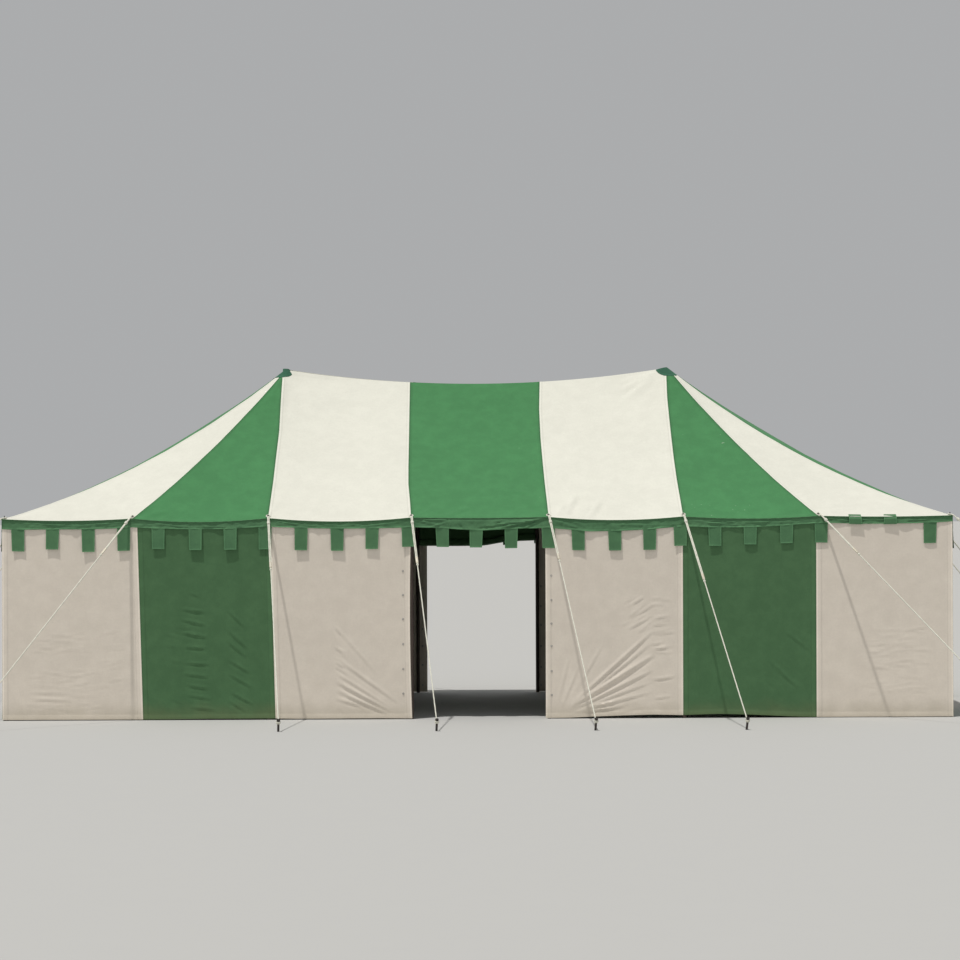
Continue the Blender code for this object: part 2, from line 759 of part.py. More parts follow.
def make_pin_cutter(materials):
    """Holes in the roof cloths for the pins of the side poles."""
    builder = bmesh.new()
    places = []
    for side, sign in (("front", -1), ("rear", 1)):
        for number in range(FRONT_BAYS + 1):
            places.append((long_joint_x(number, side), sign * (HALF_DEPTH - POLE_INSET)))
        for number in range(1, END_BAYS):
            places.append((sign * (HALF_LENGTH - POLE_INSET), end_joint_y(number)))
    radius = PIN_RADIUS + CLEARANCE
    for x, y in places:
        heights = (EAVE_HEIGHT - PIN_RISE, EAVE_HEIGHT + PIN_RISE)
        add_turned_pole(builder, x, y, heights, (radius, radius))
    return add_helper("pin_holes", builder, materials["wood"])


def make_peak_cutter(materials):
    """The square hole that the roof cloths leave at each peak."""
    builder = bmesh.new()
    for x in (-PEAK_X, PEAK_X):
        low = (x - PEAK_HOLE_REACH, -HALF_DEPTH * HOLE_SHARE, EAVE_HEIGHT)
        high = (x + PEAK_HOLE_REACH, HALF_DEPTH * HOLE_SHARE, PEAK_HEIGHT + EAVE_HEIGHT)
        add_box(builder, low, high)
    return add_helper("peak_holes", builder, materials["wood"])


def main():
    clear_scene()
    materials = {
        "green": make_material("green_cloth", CLOTH_GREEN, 0.85),
        "white": make_material("white_cloth", CLOTH_WHITE, 0.85),
        "cap": make_material("cap_cloth", CAP_GREEN, 0.8),
        "wood": make_material("pole_wood", POLE_WOOD, 0.6),
        "rope": make_material("guy_rope", ROPE_WHITE, 0.8),
    }
    pin_cutter = make_pin_cutter(materials)
    peak_cutter = make_peak_cutter(materials)
    make_roof(materials, pin_cutter, peak_cutter)
    make_peak_caps(materials)
    make_walls(materials)
    make_rear_door_cloth(materials)
    make_valances(materials)
    make_king_poles(materials)
    make_side_poles(materials)
    make_guy_lines(materials)


main()
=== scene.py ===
import math

import bpy
import numpy as np
from mathutils import Matrix, Vector


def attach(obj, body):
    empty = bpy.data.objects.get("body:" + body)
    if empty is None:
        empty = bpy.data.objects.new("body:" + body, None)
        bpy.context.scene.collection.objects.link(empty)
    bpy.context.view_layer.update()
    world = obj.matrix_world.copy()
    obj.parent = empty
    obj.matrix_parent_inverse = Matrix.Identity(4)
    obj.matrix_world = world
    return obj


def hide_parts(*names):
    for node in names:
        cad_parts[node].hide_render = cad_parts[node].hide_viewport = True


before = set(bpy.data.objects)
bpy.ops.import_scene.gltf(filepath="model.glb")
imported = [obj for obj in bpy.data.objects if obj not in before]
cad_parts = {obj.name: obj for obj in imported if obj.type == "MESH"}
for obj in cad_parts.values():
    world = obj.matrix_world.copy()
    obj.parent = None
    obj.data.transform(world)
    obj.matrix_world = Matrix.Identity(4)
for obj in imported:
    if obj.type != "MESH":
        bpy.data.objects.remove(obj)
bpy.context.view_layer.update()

# Sizes in metres, those of the CAD source and what follows from them

BAY = 1.35
FRONT_BAYS = 7
END_BAYS = 3
GORE_BAYS = 2
DOOR_BAY = 3
FRONT_SHIFTS = (0.0, -0.052, -0.054, 0.018, 0.034, 0.024, 0.016, 0.0)
DOOR_LAPS = {"front": (0.025, -0.005), "rear": (0.105, 0.019)}
EAVE_HEIGHT = 2.0
PEAK_HEIGHT = 3.57
RIDGE_SAG = 0.16
HIP_SAG = 0.19
SEAM_SAG = 0.08
END_SEAM_SAG = 0.14
HALF_LENGTH = FRONT_BAYS * BAY / 2
HALF_DEPTH = END_BAYS * BAY / 2
# Which way each side faces
LONG_SIDES = {"front": -1, "rear": 1}
ENDS = {"left": -1, "right": 1}
SIGNS = {**LONG_SIDES, **ENDS}
GORE_RUN = GORE_BAYS * BAY
PEAK_X = HALF_LENGTH - GORE_RUN
EVEN_JOINTS = np.linspace(-HALF_LENGTH, HALF_LENGTH, FRONT_BAYS + 1)
WALL_OUTER = 0.0033
WALL_TOP = 1.9987
HEM_HEIGHT = 0.012
BAND_DEPTH = 0.125
TAB_LENGTH = 0.195
TAB_WIDTH = 0.132
TAB_TIP_WIDTH = 0.122
TAB_PITCH = 0.351
POLE_INSET = 0.0246
POLE_RADIUS = 0.019
PIN_RADIUS = 0.005
PIN_RISE = 0.036
KING_RADIUS = 0.030
WALL_LINE_INSET = 0.0096
WALL_LINE_DROP = 0.07
LINE_RADIUS = 0.004
GUY_RADIUS = 0.006
EAVE_ROPE_OUT = 0.0043
LOOP_RADIUS = 0.0134
LOOP_RISE = 0.0105
PEG_DISTANCE = 1.5
PEG_RADIUS = 0.011
PEG_HEIGHT = 0.12
PEG_LEAN = 0.035
HITCH_HEIGHT = 0.085
CORNER_PEGS = {"front": (2.05, 0.9), "rear": (0.75, 1.5)}
GUY_SIDESTEPS = {
    "front": (-1.334, 0.194, 0.26, 0.388, 0.47, 1.64),
    "rear": (-1.69, -0.47, -0.39, 0.39, 0.47, 1.69),
}
SLIDER_DROPS = (0.35, 0.32, 0.46, 0.42, 0.39, 0.59, 0.345, 0.35)
END_SLIDER_DROP = 0.42
ROLL_RADIUS = 0.042
ROLL_DROPS = (0.303, 0.306, 0.258, 0.245)
ROLL_SHARES = (-1.0, 0.1, 0.5, 1.0)
HALF_GAP = 0.00015

# Sizes of the cloth work

CLOTH = 0.0015
CAP_CLOTH = 0.002
SEAM_WIDTH = 0.024
WALL_SEAM_WIDTH = 0.050
HEM_DEPTH = 0.040
SEAM_RISE = 0.0014
EDGE_WIDTH = 0.018
# How far the roof's edge hangs between two poles
EAVE_DIP = 0.022
# The same for each bay of the front
FRONT_DIPS = np.array((0.020, 0.036, 0.037, 0.008, 0.034, 0.024, 0.010))
# How far a roof cloth hangs between its seams halfway up
BELLY = 0.010
ROOF_LIFT = 0.001
SLOPE_LENGTH = 2.6
# How far each seam of the front's roof bows aside, in millimetres, from the ridge to the eave
BOW_SHARES = (0.0, 0.18, 0.38, 0.58, 0.72, 0.86, 1.0)
SEAM_BOWS = {
    2: (-34, -22, -3, -3, 0, 0, 0),
    3: (-34, -36, -36, -37, -34, -14, 0),
    4: (-6, -26, -28, -20, -13, -5, 0),
    5: (-12, -28, -28, -25, -20, -10, -3),
}
UP = np.array((0.0, 0.0, 1.0))
FULL_TURN = 2 * math.pi
SHARP_ANGLE = math.radians(50)


# Shapes of fields

def smooth(low, high, value):
    share = np.clip((np.asarray(value, float) - low) / (high - low), 0.0, 1.0)
    return share * share * (3 - 2 * share)


def unit(way):
    way = np.asarray(way, float)
    return way / np.linalg.norm(way)


def soft_noise(x, y, wave, seed, stretch=1.0):
    """Smooth unevenness of about one up and down, with humps about a wave apart."""
    rng = np.random.default_rng(seed)
    total = np.zeros(np.broadcast(x, y).shape)
    for _ in range(9):
        turn = rng.uniform(0, FULL_TURN)
        length = wave * rng.uniform(0.7, 1.6)
        phase = rng.uniform(0, FULL_TURN)
        total += np.sin(FULL_TURN * (x * math.cos(turn) + y / stretch * math.sin(turn)) / length + phase)
    return total / 4.2


def crease(x, z, fold):
    """A soft fold with a trough beside it, fading out towards both ends."""
    x0, z0, x1, z1 = fold[:4]
    width, height = fold[4] / 1000, fold[5] / 1000
    dx = x1 - x0
    dz = z1 - z0
    length = math.hypot(dx, dz)
    along = ((x - x0) * dx + (z - z0) * dz) / length**2
    aside = ((x - x0) * dz - (z - z0) * dx) / length / width
    fade = np.clip(4 * along * (1 - along), 0.0, 1.0) ** 0.8
    return height * fade * (np.exp(-(aside**2)) - 0.7 * np.exp(-((aside - 1.6) ** 2)))


def small_creases(x, z, zone, seed):
    """Many short creases in a zone: its low and high corner, count, tilt, length, width and height."""
    low_x, low_z, high_x, high_z, count, tilt, reach, width, height = zone
    rng = np.random.default_rng(seed)
    total = np.zeros(np.broadcast(x, z).shape)
    for _ in range(count):
        x0 = rng.uniform(low_x, high_x)
        z0 = rng.uniform(low_z, high_z)
        turn = math.atan(tilt) + rng.uniform(-0.16, 0.16)
        length = reach * rng.uniform(0.6, 1.4)
        end = (x0 + length * math.cos(turn), z0 + length * math.sin(turn))
        total += crease(x, z, (x0, z0, *end, width, height * rng.uniform(0.6, 1.3)))
    return total


def front_shift(x, y):
    """How far a point of the roof stands aside where the front's seams are uneven."""
    back = np.maximum(-np.asarray(y, float), 0.0)
    across = np.abs(x)
    beyond = np.maximum(across - PEAK_X, 0.0)
    foot = np.copysign(np.minimum(across, PEAK_X) + beyond * HALF_DEPTH / np.maximum(back, 1e-9), x)
    share = back / HALF_DEPTH
    total = np.interp(foot, EVEN_JOINTS, FRONT_SHIFTS) * share
    for number, bow in SEAM_BOWS.items():
        near = np.maximum(1 - np.abs(foot - EVEN_JOINTS[number]) / BAY, 0.0)
        total = total + near * np.interp(share, BOW_SHARES, bow) * (back > 0) / 1000
    return total


def long_joint_x(number, side):
    place = EVEN_JOINTS[number] + (FRONT_SHIFTS[number] if side == "front" else 0.0)
    limit = HALF_LENGTH - POLE_INSET
    return float(np.clip(place, -limit, limit))


def roof_height(x, y):
    across = np.abs(x)
    back = np.abs(y)
    share = (np.minimum(across, PEAK_X) + PEAK_X) / (2 * PEAK_X)
    top = PEAK_HEIGHT - 4 * RIDGE_SAG * share * (1 - share)
    run = np.maximum(across - PEAK_X, 0.0)
    on_long = back * GORE_RUN >= run * HALF_DEPTH
    rise = np.where(on_long, 1 - back / HALF_DEPTH, 1 - run / GORE_RUN)
    long_seam = run * HALF_DEPTH / np.maximum(back, 1e-9) / BAY - (GORE_BAYS - 1)
    end_seam = back * GORE_RUN / np.maximum(run, 1e-9) / BAY - (END_BAYS / 2 - 1)
    near_hip = np.clip(np.where(on_long, long_seam, end_seam), 0.0, 1.0)
    seam_sag = np.where(on_long, SEAM_SAG, END_SEAM_SAG)
    sag = seam_sag + (HIP_SAG - seam_sag) * near_hip
    return EAVE_HEIGHT + (top - EAVE_HEIGHT) * rise - 4 * sag * rise * (1 - rise)


def roof_normal(x, y):
    """The way that the roof faces over a point of the plan."""
    step = 0.01
    slope_x = (roof_height(x + step, y) - roof_height(x - step, y)) / (2 * step)
    slope_y = (roof_height(x, y + step) - roof_height(x, y - step)) / (2 * step)
    return unit((-slope_x, -slope_y, 1.0))


def pin_places():
    """Plan places of all the side pole pins, by side."""
    edge_x = HALF_LENGTH - POLE_INSET
    edge_y = HALF_DEPTH - POLE_INSET
    places = {}
    for side, sign in LONG_SIDES.items():
        places[side] = [(long_joint_x(number, side), sign * edge_y) for number in range(FRONT_BAYS + 1)]
    for side, sign in ENDS.items():
        places[side] = [(sign * edge_x, -HALF_DEPTH + number * BAY) for number in range(1, END_BAYS)]
    return places


PINS = pin_places()


def radial_folds(x, y, centre, folds, near, far, height, seed):
    """Folds that run out from a point, strongest at the near distance."""
    dx = x - centre[0]
    dy = y - centre[1]
    distance = np.hypot(dx, dy)
    angle = np.arctan2(dy, dx)
    wave = np.sin(folds * angle + seed) + 0.6 * np.sin((folds + 3) * angle + 2.3 * seed)
    return height * wave * smooth(0.2 * near, near, distance) * np.exp(-distance / far)


# Creases of the roof's front as start and end in plan, then width and height in millimetres
ROOF_CREASES = (
    (1.93, -0.02, 1.52, -0.1, 32, 18), (1.9, -0.05, 1.52, -0.2, 34, 19),
    (1.86, -0.09, 1.54, -0.33, 34, 17), (1.85, -0.02, 1.5, -0.03, 34, 8),
    (-1.92, -0.03, -1.66, -0.12, 34, 7.5), (1.1, -2, 1.25, -1.7, 28, 16.5),
    (0.88, -1.97, 1, -1.62, 28, 18), (0.8, -1.97, 0.9, -1.76, 26, 13),
    (1.04, -1.98, 1.14, -1.76, 26, 8), (0.32, -1.57, 0.53, -1.6, 22, 5),
    (-0.3, -1.99, -0.05, -1.8, 24, 4.5), (-0.52, -1.98, -0.3, -1.86, 24, 5),
    (2.12, -1.98, 2.42, -1.76, 26, 4.5), (-2, -1.98, -1.72, -1.8, 26, 4),
    (-3.36, -1.98, -3.05, -1.86, 26, 4.5), (3.46, -1.98, 3.8, -1.84, 26, 4.5),
)
# How far the cloth drops just inside the left and right peaks, beside the even sag of the ridge
PEAK_DIPS = ((-1, 0.023), (1, 0.006))
# How far the cloth beside the hips swells up on the left and right ends
END_SWELLS = ((-1, 0.022), (1, 0.042))


def roof_relief(x, y):
    """How far the roof's cloth stands off its even surface."""
    relief = 0.0022 * soft_noise(x, y, 0.55, 11) + 0.0009 * soft_noise(x, y, 0.17, 12)
    for side, places in PINS.items():
        for number, place in enumerate(places):
            relief = relief + radial_folds(x, y, place, 11, 0.12, 0.22, 0.0042, number + len(side))
    for sign, dip in PEAK_DIPS:
        relief = relief + radial_folds(x, y, (sign * PEAK_X, 0.0), 17, 0.2, 0.45, 0.0030, sign + 5)
        away = np.hypot(x - sign * PEAK_X, y)
        inner = smooth(-0.02, 0.06, PEAK_X - sign * x)
        relief = relief - dip * inner * (1 - np.exp(-away / 0.05)) * np.exp(-((away / 0.6) ** 2))
    for sign, swell in END_SWELLS:
        run = (sign * x - PEAK_X) / GORE_RUN
        past_hip = run - np.abs(y) / HALF_DEPTH
        arch = np.sin(math.pi * np.clip(run, 0.0, 1.0) ** 1.2)
        reach = smooth(0.0, 0.1, past_hip) * (1 - smooth(0.25, 0.6, past_hip))
        relief = relief + swell * arch * reach
    for fold in ROOF_CREASES:
        relief = relief + crease(x, y, fold)
    return relief


# Meshes

def grid_lines(length, step, *stops):
    """Places from 0 to the length, about a step apart, and at the stops from either end."""
    last = max(stops)
    count = max(2, int(round((length - 2 * last) / step)) + 1)
    middle = np.linspace(last, length - last, count)
    ends = np.array(sorted(stops)[:-1])
    return np.concatenate(([0.0], ends, middle, (length - ends)[::-1], [length]))


def edge_lines(width):
    """Places just inside and outside the edge of a seam or hem."""
    return width - 0.002, width + 0.002


def within(width, distance):
    """One over a seam or hem, and nothing past its edge."""
    return smooth(0.003, -0.003, distance - width)


def sheet_shell(points, thickness, toward, uv, edges):
    """A closed thin shell under a grid of outer points; toward is the way that its outer face looks."""
    faced = np.cross(np.gradient(points, axis=1), np.gradient(points, axis=0))
    uv, edges = (np.stack(np.broadcast_arrays(*pair, points[..., 0])[:2], -1) for pair in (uv, edges))
    if faced.mean(axis=(0, 1)) @ np.array(toward) < 0:
        points, uv, edges, faced = (values[:, ::-1] for values in (points, uv, edges, -faced))
    faced = faced / np.maximum(np.linalg.norm(faced, axis=2, keepdims=True), 1e-12)
    inner = points - faced * thickness
    rows, columns = points.shape[:2]
    index = np.arange(rows * columns).reshape(rows, columns)
    quads = np.stack((index[:-1, :-1], index[:-1, 1:], index[1:, 1:], index[1:, :-1]), -1).reshape(-1, 4)
    under = quads[:, ::-1] + rows * columns
    rim = np.concatenate((index[0, :-1], index[:-1, -1], index[-1, :0:-1], index[:0:-1, 0]))
    after = np.roll(rim, -1)
    walls = np.stack((after, rim, rim + rows * columns, after + rows * columns), -1)
    vertices = np.concatenate((points.reshape(-1, 3), inner.reshape(-1, 3)))
    faces = np.concatenate((quads, under, walls)).tolist()
    uv, edges = (np.tile(values.reshape(-1, 2), (2, 1)) for values in (uv, edges))
    return vertices, faces, uv, edges


def run_along(points):
    """Length along a path of points, or down each column of a grid of them."""
    steps = np.linalg.norm(np.diff(points, axis=0), axis=-1)
    return np.concatenate((np.zeros((1, *steps.shape[1:])), np.cumsum(steps, axis=0)))


def path_frames(path):
    """Two unit crosswise directions along a path, without needless turning."""
    tangents = np.gradient(path, axis=0)
    tangents /= np.linalg.norm(tangents, axis=1, keepdims=True)
    side = np.cross(tangents[0], UP)
    if np.linalg.norm(side) < 0.05:
        side = np.array((1.0, 0.0, 0.0))
    sides = []
    for tangent in tangents:
        side = unit(side - tangent * (side @ tangent))
        sides.append(side)
    sides = np.array(sides)
    return sides, np.cross(tangents, sides)


def arms_around(sides, lifts, corners):
    """Unit arms all round, from one or many pairs of crosswise directions."""
    angles = FULL_TURN * np.arange(corners)[:, None] / corners
    return np.cos(angles) * sides[..., None, :] + np.sin(angles) * lifts[..., None, :]


def closed_tube(rings, ends, heights):
    """A tube through rings of points, closed at both ends on a point."""
    count, corners = rings.shape[:2]
    index = np.arange(count * corners).reshape(count, corners)
    beside = np.roll(index, -1, axis=1)
    faces = np.stack((index[:-1], beside[:-1], beside[1:], index[1:]), -1).reshape(-1, 4).tolist()
    low = count * corners
    high = low - corners
    for here, beyond in enumerate(beside[0].tolist()):
        faces += [[beyond, here, low], [high + here, high + beyond, low + 1]]
    around = np.tile(np.arange(corners) / corners, count)
    uv = np.stack((around, np.repeat(heights, corners)), -1)
    uv = np.concatenate((uv, [[0.0, heights[0]], [0.0, heights[-1]]]))
    return np.concatenate((rings.reshape(-1, 3), ends)), faces, uv, np.full(uv.shape, 1.0)


def rope_shell(path, radius, spacing=0.014, pitch=0.05, corners=9):
    """A rope of three laid strands along a path."""
    path = np.asarray(path, float)
    run = run_along(path)
    places = np.linspace(0.0, run[-1], max(4, int(run[-1] / spacing) + 1))
    fine = np.stack([np.interp(places, run, path[:, axis]) for axis in range(3)], -1)
    lay = 1.5 * FULL_TURN * (np.arange(corners) / corners - places[:, None] / pitch)
    radii = radius * (0.84 + 0.20 * np.abs(np.cos(lay)))
    rings = fine[:, None] + arms_around(*path_frames(fine), corners) * radii[..., None]
    return closed_tube(rings, fine[[0, -1]], run_along(fine))


def turned_shell(base, axis, profile, corners):
    """A turned solid: profile lists distances along the axis with their radii."""
    axis = unit(axis)
    along, radii = np.array(profile).T
    path = np.asarray(base) + axis * along[:, None]
    side = np.cross(axis, (0.0, 1.0, 0.0))
    if np.linalg.norm(side) < 0.1:
        side = np.cross(axis, (1.0, 0.0, 0.0))
    side = unit(side)
    rings = path[:, None] + arms_around(side, np.cross(axis, side), corners) * radii[:, None, None]
    return closed_tube(rings, path[[0, -1]], along)


def ring_shell(centre, axis, radius, tube, steps, corners):
    """A closed ring of round section."""
    axis = unit(axis)
    side = unit(np.cross(axis, (0.3, 1.0, 0.2)))
    arms = arms_around(side, np.cross(axis, side), steps)
    angles = FULL_TURN * np.arange(corners)[:, None] / corners
    section = arms[:, None] * (radius + tube * np.cos(angles)) + axis * tube * np.sin(angles)
    index = np.arange(steps * corners).reshape(steps, corners)
    after = np.roll(index, -1, axis=0)
    faces = np.stack((index, after, np.roll(after, -1, axis=1), np.roll(index, -1, axis=1)), -1)
    around = np.tile(np.arange(corners) / corners, steps)
    uv = np.stack((around, np.repeat(FULL_TURN * np.arange(steps) / steps * radius, corners)), -1)
    vertices = np.asarray(centre) + section.reshape(-1, 3)
    return vertices, faces.reshape(-1, 4).tolist(), uv, np.full(uv.shape, 1.0)


def add_object(name, data):
    item = bpy.data.objects.new(name, data)
    bpy.context.scene.collection.objects.link(item)
    return item


def make_piece(name, shells, material, nodes=()):
    """Joins shells to one piece that rides the root and takes the place of the nodes named."""
    vertices, uv, edges = (np.concatenate([shell[part] for shell in shells]) for part in (0, 2, 3))
    faces = []
    low = 0
    for shell in shells:
        faces += [[low + corner for corner in face] for face in shell[1]]
        low += len(shell[0])
    mesh = bpy.data.meshes.new(name)
    mesh.from_pydata(vertices.tolist(), [], faces)
    corners = np.empty(len(mesh.loops), np.int32)
    mesh.loops.foreach_get("vertex_index", corners)
    layer = mesh.uv_layers.new(name="cloth")
    layer.data.foreach_set("uv", uv[corners].astype(np.float32).ravel())
    for column, title in enumerate(("from_side", "from_end")):
        values = mesh.attributes.new(title, "FLOAT", "POINT")
        values.data.foreach_set("value", edges[:, column].astype(np.float32))
    mesh.materials.append(material)
    mesh.shade_smooth()
    mesh.set_sharp_from_angle(angle=SHARP_ANGLE)
    mesh.update()
    piece = add_object(name, mesh)
    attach(piece, "root")
    if nodes:
        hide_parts(*nodes)
    return piece


# Materials

class Graph:
    """A material's node graph, written as plain calls."""

    def __init__(self, name):
        self.material = bpy.data.materials.new(name)
        self.material.use_nodes = True
        self.nodes = self.material.node_tree.nodes
        self.links = self.material.node_tree.links
        self.nodes.clear()
        self.place = self.add("ShaderNodeTexCoord").outputs["Object"]

    def add(self, kind, inputs=None, **settings):
        node = self.nodes.new(kind)
        for key, value in settings.items():
            setattr(node, key, value)
        for key, value in (inputs or {}).items():
            if isinstance(value, bpy.types.NodeSocket):
                self.links.new(value, node.inputs[key])
            else:
                node.inputs[key].default_value = value
        return node

    def math(self, operation, *values):
        return self.add("ShaderNodeMath", dict(enumerate(values)), operation=operation).outputs[0]

    def times(self, first, second):
        return self.math("MULTIPLY", first, second)

    def apart(self, first, second):
        return self.math("ABSOLUTE", self.math("SUBTRACT", first, second))

    def noise(self, vector, scale, detail=2.0, roughness=0.5):
        inputs = {"Vector": vector, "Scale": scale, "Detail": detail, "Roughness": roughness}
        return self.add("ShaderNodeTexNoise", inputs).outputs["Fac"]

    def stretch(self, vector, scale):
        return self.add("ShaderNodeMapping", {"Vector": vector, "Scale": scale}).outputs[0]

    def span(self, value, low, high, first=0.0, last=1.0):
        inputs = {"Value": value, "From Min": low, "From Max": high, "To Min": first, "To Max": last}
        return self.add("ShaderNodeMapRange", inputs, interpolation_type="SMOOTHSTEP").outputs[0]

    def fall(self, value, low, high):
        return self.span(value, low, high, 1.0, 0.0)

    def mix(self, share, *pair):
        first, last = (part if isinstance(part, bpy.types.NodeSocket) else (*part, 1.0) for part in pair)
        return self.add("ShaderNodeMix", {0: share, 6: first, 7: last}, data_type="RGBA").outputs[2]

    def scaled(self, colour, amount):
        return self.add("ShaderNodeVectorMath", {0: colour, "Scale": amount}, operation="SCALE").outputs[0]

    def finish(self, colour, roughness, height, distance, **sockets):
        bump = self.add("ShaderNodeBump", {"Height": height, "Distance": distance, "Strength": 1.0})
        inputs = {"Base Color": colour, "Roughness": roughness, "Normal": bump.outputs[0]}
        inputs.update({key.replace("_", " "): value for key, value in sockets.items()})
        shader = self.add("ShaderNodeBsdfPrincipled", inputs)
        self.add("ShaderNodeOutputMaterial", {"Surface": shader.outputs[0]})
        return self.material


def canvas_material(
    name, colour, shade, strip, stain=0.0, mottle=0.05, seam=SEAM_WIDTH, edge=1.0, flecks=0.0
):
    """Woven cotton canvas: yarns, slubs, felled seams with stitches, soft wear and a stained foot; a line
    beside each seam's edge is painted shade, and the side edges are darkened as painted shade where edge is
    below one and lightened where it is above one.
    """
    warp_pitch, weft_pitch, stitch_pitch = 0.0016, 0.0018, 0.007
    graph = Graph(name)
    cloth = graph.add("ShaderNodeUVMap", uv_map="cloth").outputs[0]
    from_side = graph.add("ShaderNodeAttribute", attribute_name="from_side").outputs["Fac"]
    from_end = graph.add("ShaderNodeAttribute", attribute_name="from_end").outputs["Fac"]
    parts = graph.add("ShaderNodeSeparateXYZ", {0: cloth}).outputs

    warp = graph.math("SINE", graph.times(parts[0], FULL_TURN / warp_pitch))
    weft = graph.math("SINE", graph.times(parts[1], FULL_TURN / weft_pitch))
    weave = graph.times(warp, weft)
    warp_slubs = graph.noise(graph.stretch(cloth, (420.0, 9.0, 1.0)), 1.0, 1.0)
    weft_slubs = graph.noise(graph.stretch(cloth, (8.0, 380.0, 1.0)), 1.0, 1.0)
    slubs = graph.math("ADD", warp_slubs, weft_slubs)

    broad = graph.noise(graph.place, 1.3, 3.0, 0.6)
    patches = graph.noise(graph.place, 7.0, 4.0, 0.65)
    specks = graph.noise(graph.place, 42.0, 3.0, 0.7)

    on_side = graph.fall(from_side, seam - 0.001, seam + 0.001)
    on_end = graph.fall(from_end, HEM_DEPTH - 0.001, HEM_DEPTH + 0.001)
    doubled = graph.math("MAXIMUM", on_side, on_end)
    stitches = 0.0
    for distance, at, along in (
        (from_side, 0.004, parts[1]),
        (from_side, seam - 0.004, parts[1]),
        (from_end, HEM_DEPTH - 0.004, parts[0]),
    ):
        line = graph.fall(graph.apart(distance, at), 0.0006, 0.0014)
        dash = graph.math("SINE", graph.times(along, FULL_TURN / stitch_pitch))
        row = graph.times(line, graph.span(dash, -0.5, -0.1))
        stitches = graph.math("MAXIMUM", row, stitches)
    # Painted shade: a darker line just outside each seam's edge, where the doubled cloth's step throws its
    # shadow.
    seam_step_shade = graph.fall(graph.apart(from_side, seam + 0.003), 0.001, 0.004)

    tone = 1.0
    for value, low, high, first, last in (
        (broad, 0.35, 0.7, 1.0 - mottle, 1.0),
        (patches, 0.3, 0.75, 1.0 - mottle * 0.7, 1.0 + mottle * 0.25),
        (specks, 0.25, 0.75, 1.0 - mottle, 1.0 + mottle * 0.5),
        (slubs, 0.7, 1.3, 0.985, 1.015),
        (doubled, 0.0, 1.0, 1.0, strip),
        (seam_step_shade, 0.0, 1.0, 1.0, 0.9),
        (stitches, 0.0, 1.0, 1.0, 0.82),
        # Along each cloth's side edges: an edge below one is painted shade of the felled seam, an edge above
        # one gives a lighter strip.
        (from_side, EDGE_WIDTH - 0.006, EDGE_WIDTH, edge, 1.0),
    ):
        tone = graph.times(graph.span(value, low, high, first, last), tone)
    hue = graph.mix(graph.span(patches, 0.35, 0.7), shade, colour)
    if stain:
        height = graph.add("ShaderNodeSeparateXYZ", {0: graph.place}).outputs[2]
        ragged = graph.math("ADD", height, graph.times(graph.noise(graph.place, 5.0, 4.0), -0.16))
        foot = graph.times(graph.fall(ragged, -0.08, 0.14), stain)
        hue = graph.mix(foot, hue, (0.23, 0.20, 0.10))
    if flecks:
        spots = graph.times(graph.noise(graph.place, 26.0, 2.0), graph.span(broad, 0.45, 0.7, 0.9, 1.05))
        hue = graph.mix(graph.span(spots, 0.75, 0.78, 0.0, flecks), hue, (0.55, 0.62, 0.5))

    relief = graph.times(weave, 0.35)
    for value, share in ((slubs, 0.6), (doubled, 1.2), (stitches, -1.6), (patches, 1.5)):
        relief = graph.math("ADD", relief, graph.times(value, share))
    roughness = graph.span(specks, 0.2, 0.8, 0.82, 0.95)
    sheen = {"Sheen_Weight": 0.12, "Sheen_Roughness": 0.5, "Specular_IOR_Level": 0.25}
    return graph.finish(graph.scaled(hue, tone), roughness, relief, 0.0004, **sheen)


def rope_material(name, colour, dark, pitch=0.05):
    graph = Graph(name)
    lay = graph.add("ShaderNodeUVMap", uv_map="cloth").outputs[0]
    lay = graph.add("ShaderNodeSeparateXYZ", {0: lay}).outputs
    turn = graph.times(lay[0], 3.0)
    run = graph.times(lay[1], 3.0 / pitch)
    phase = graph.math("FRACT", graph.math("SUBTRACT", turn, run))
    # Painted shade: the dark colour fills the grooves between the strands; the wear noise also pulls the
    # strands' crowns partly towards it.
    strand = graph.fall(graph.apart(phase, 0.5), 0.28, 0.5)
    fibres = graph.noise(graph.place, 900.0, 2.0)
    wear = graph.span(graph.noise(graph.place, 9.0, 3.0), 0.2, 0.7, 0.75, 1.0)
    hue = graph.mix(graph.times(strand, wear), dark, colour)
    shown = graph.scaled(hue, graph.span(fibres, 0.25, 0.75, 0.88, 1.05))
    height = graph.math("ADD", strand, graph.times(fibres, 0.4))
    return graph.finish(shown, 0.85, height, 0.0008, Sheen_Weight=0.1, Specular_IOR_Level=0.3)


def wood_material(name, colour, dark):
    graph = Graph(name)
    grain = graph.noise(graph.stretch(graph.place, (95.0, 95.0, 3.0)), 1.0, 5.0, 0.6)
    rings = graph.noise(graph.stretch(graph.place, (30.0, 30.0, 0.9)), 1.0, 2.0)
    hue = graph.mix(graph.span(grain, 0.35, 0.68), dark, colour)
    hue = graph.mix(graph.span(rings, 0.45, 0.62, 0.0, 0.45), hue, dark)
    tone = graph.span(graph.noise(graph.place, 4.0, 3.0), 0.3, 0.7, 0.8, 1.05)
    return graph.finish(graph.scaled(hue, tone), graph.span(grain, 0.3, 0.7, 0.65, 0.45), grain, 0.0006)


def steel_material(name, colour, rust, metal=0.85):
    graph = Graph(name)
    spots = graph.noise(graph.place, 130.0, 4.0, 0.7)
    cloud = graph.noise(graph.place, 25.0, 3.0)
    bare = graph.times(graph.span(spots, 0.52, 0.62, 0.0, 0.7), cloud)
    hue = graph.mix(bare, colour, rust)
    return graph.finish(hue, graph.span(cloud, 0.3, 0.7, 0.38, 0.6), spots, 0.0003, Metallic=metal)


def stage_material(name, colour):
    graph = Graph(name)
    grain = graph.noise(graph.place, 3.0, 3.0)
    hue = graph.mix(grain, [0.985 * part for part in colour], colour)
    return graph.finish(hue, 0.9, grain, 0.0005, Specular_IOR_Level=0.1)
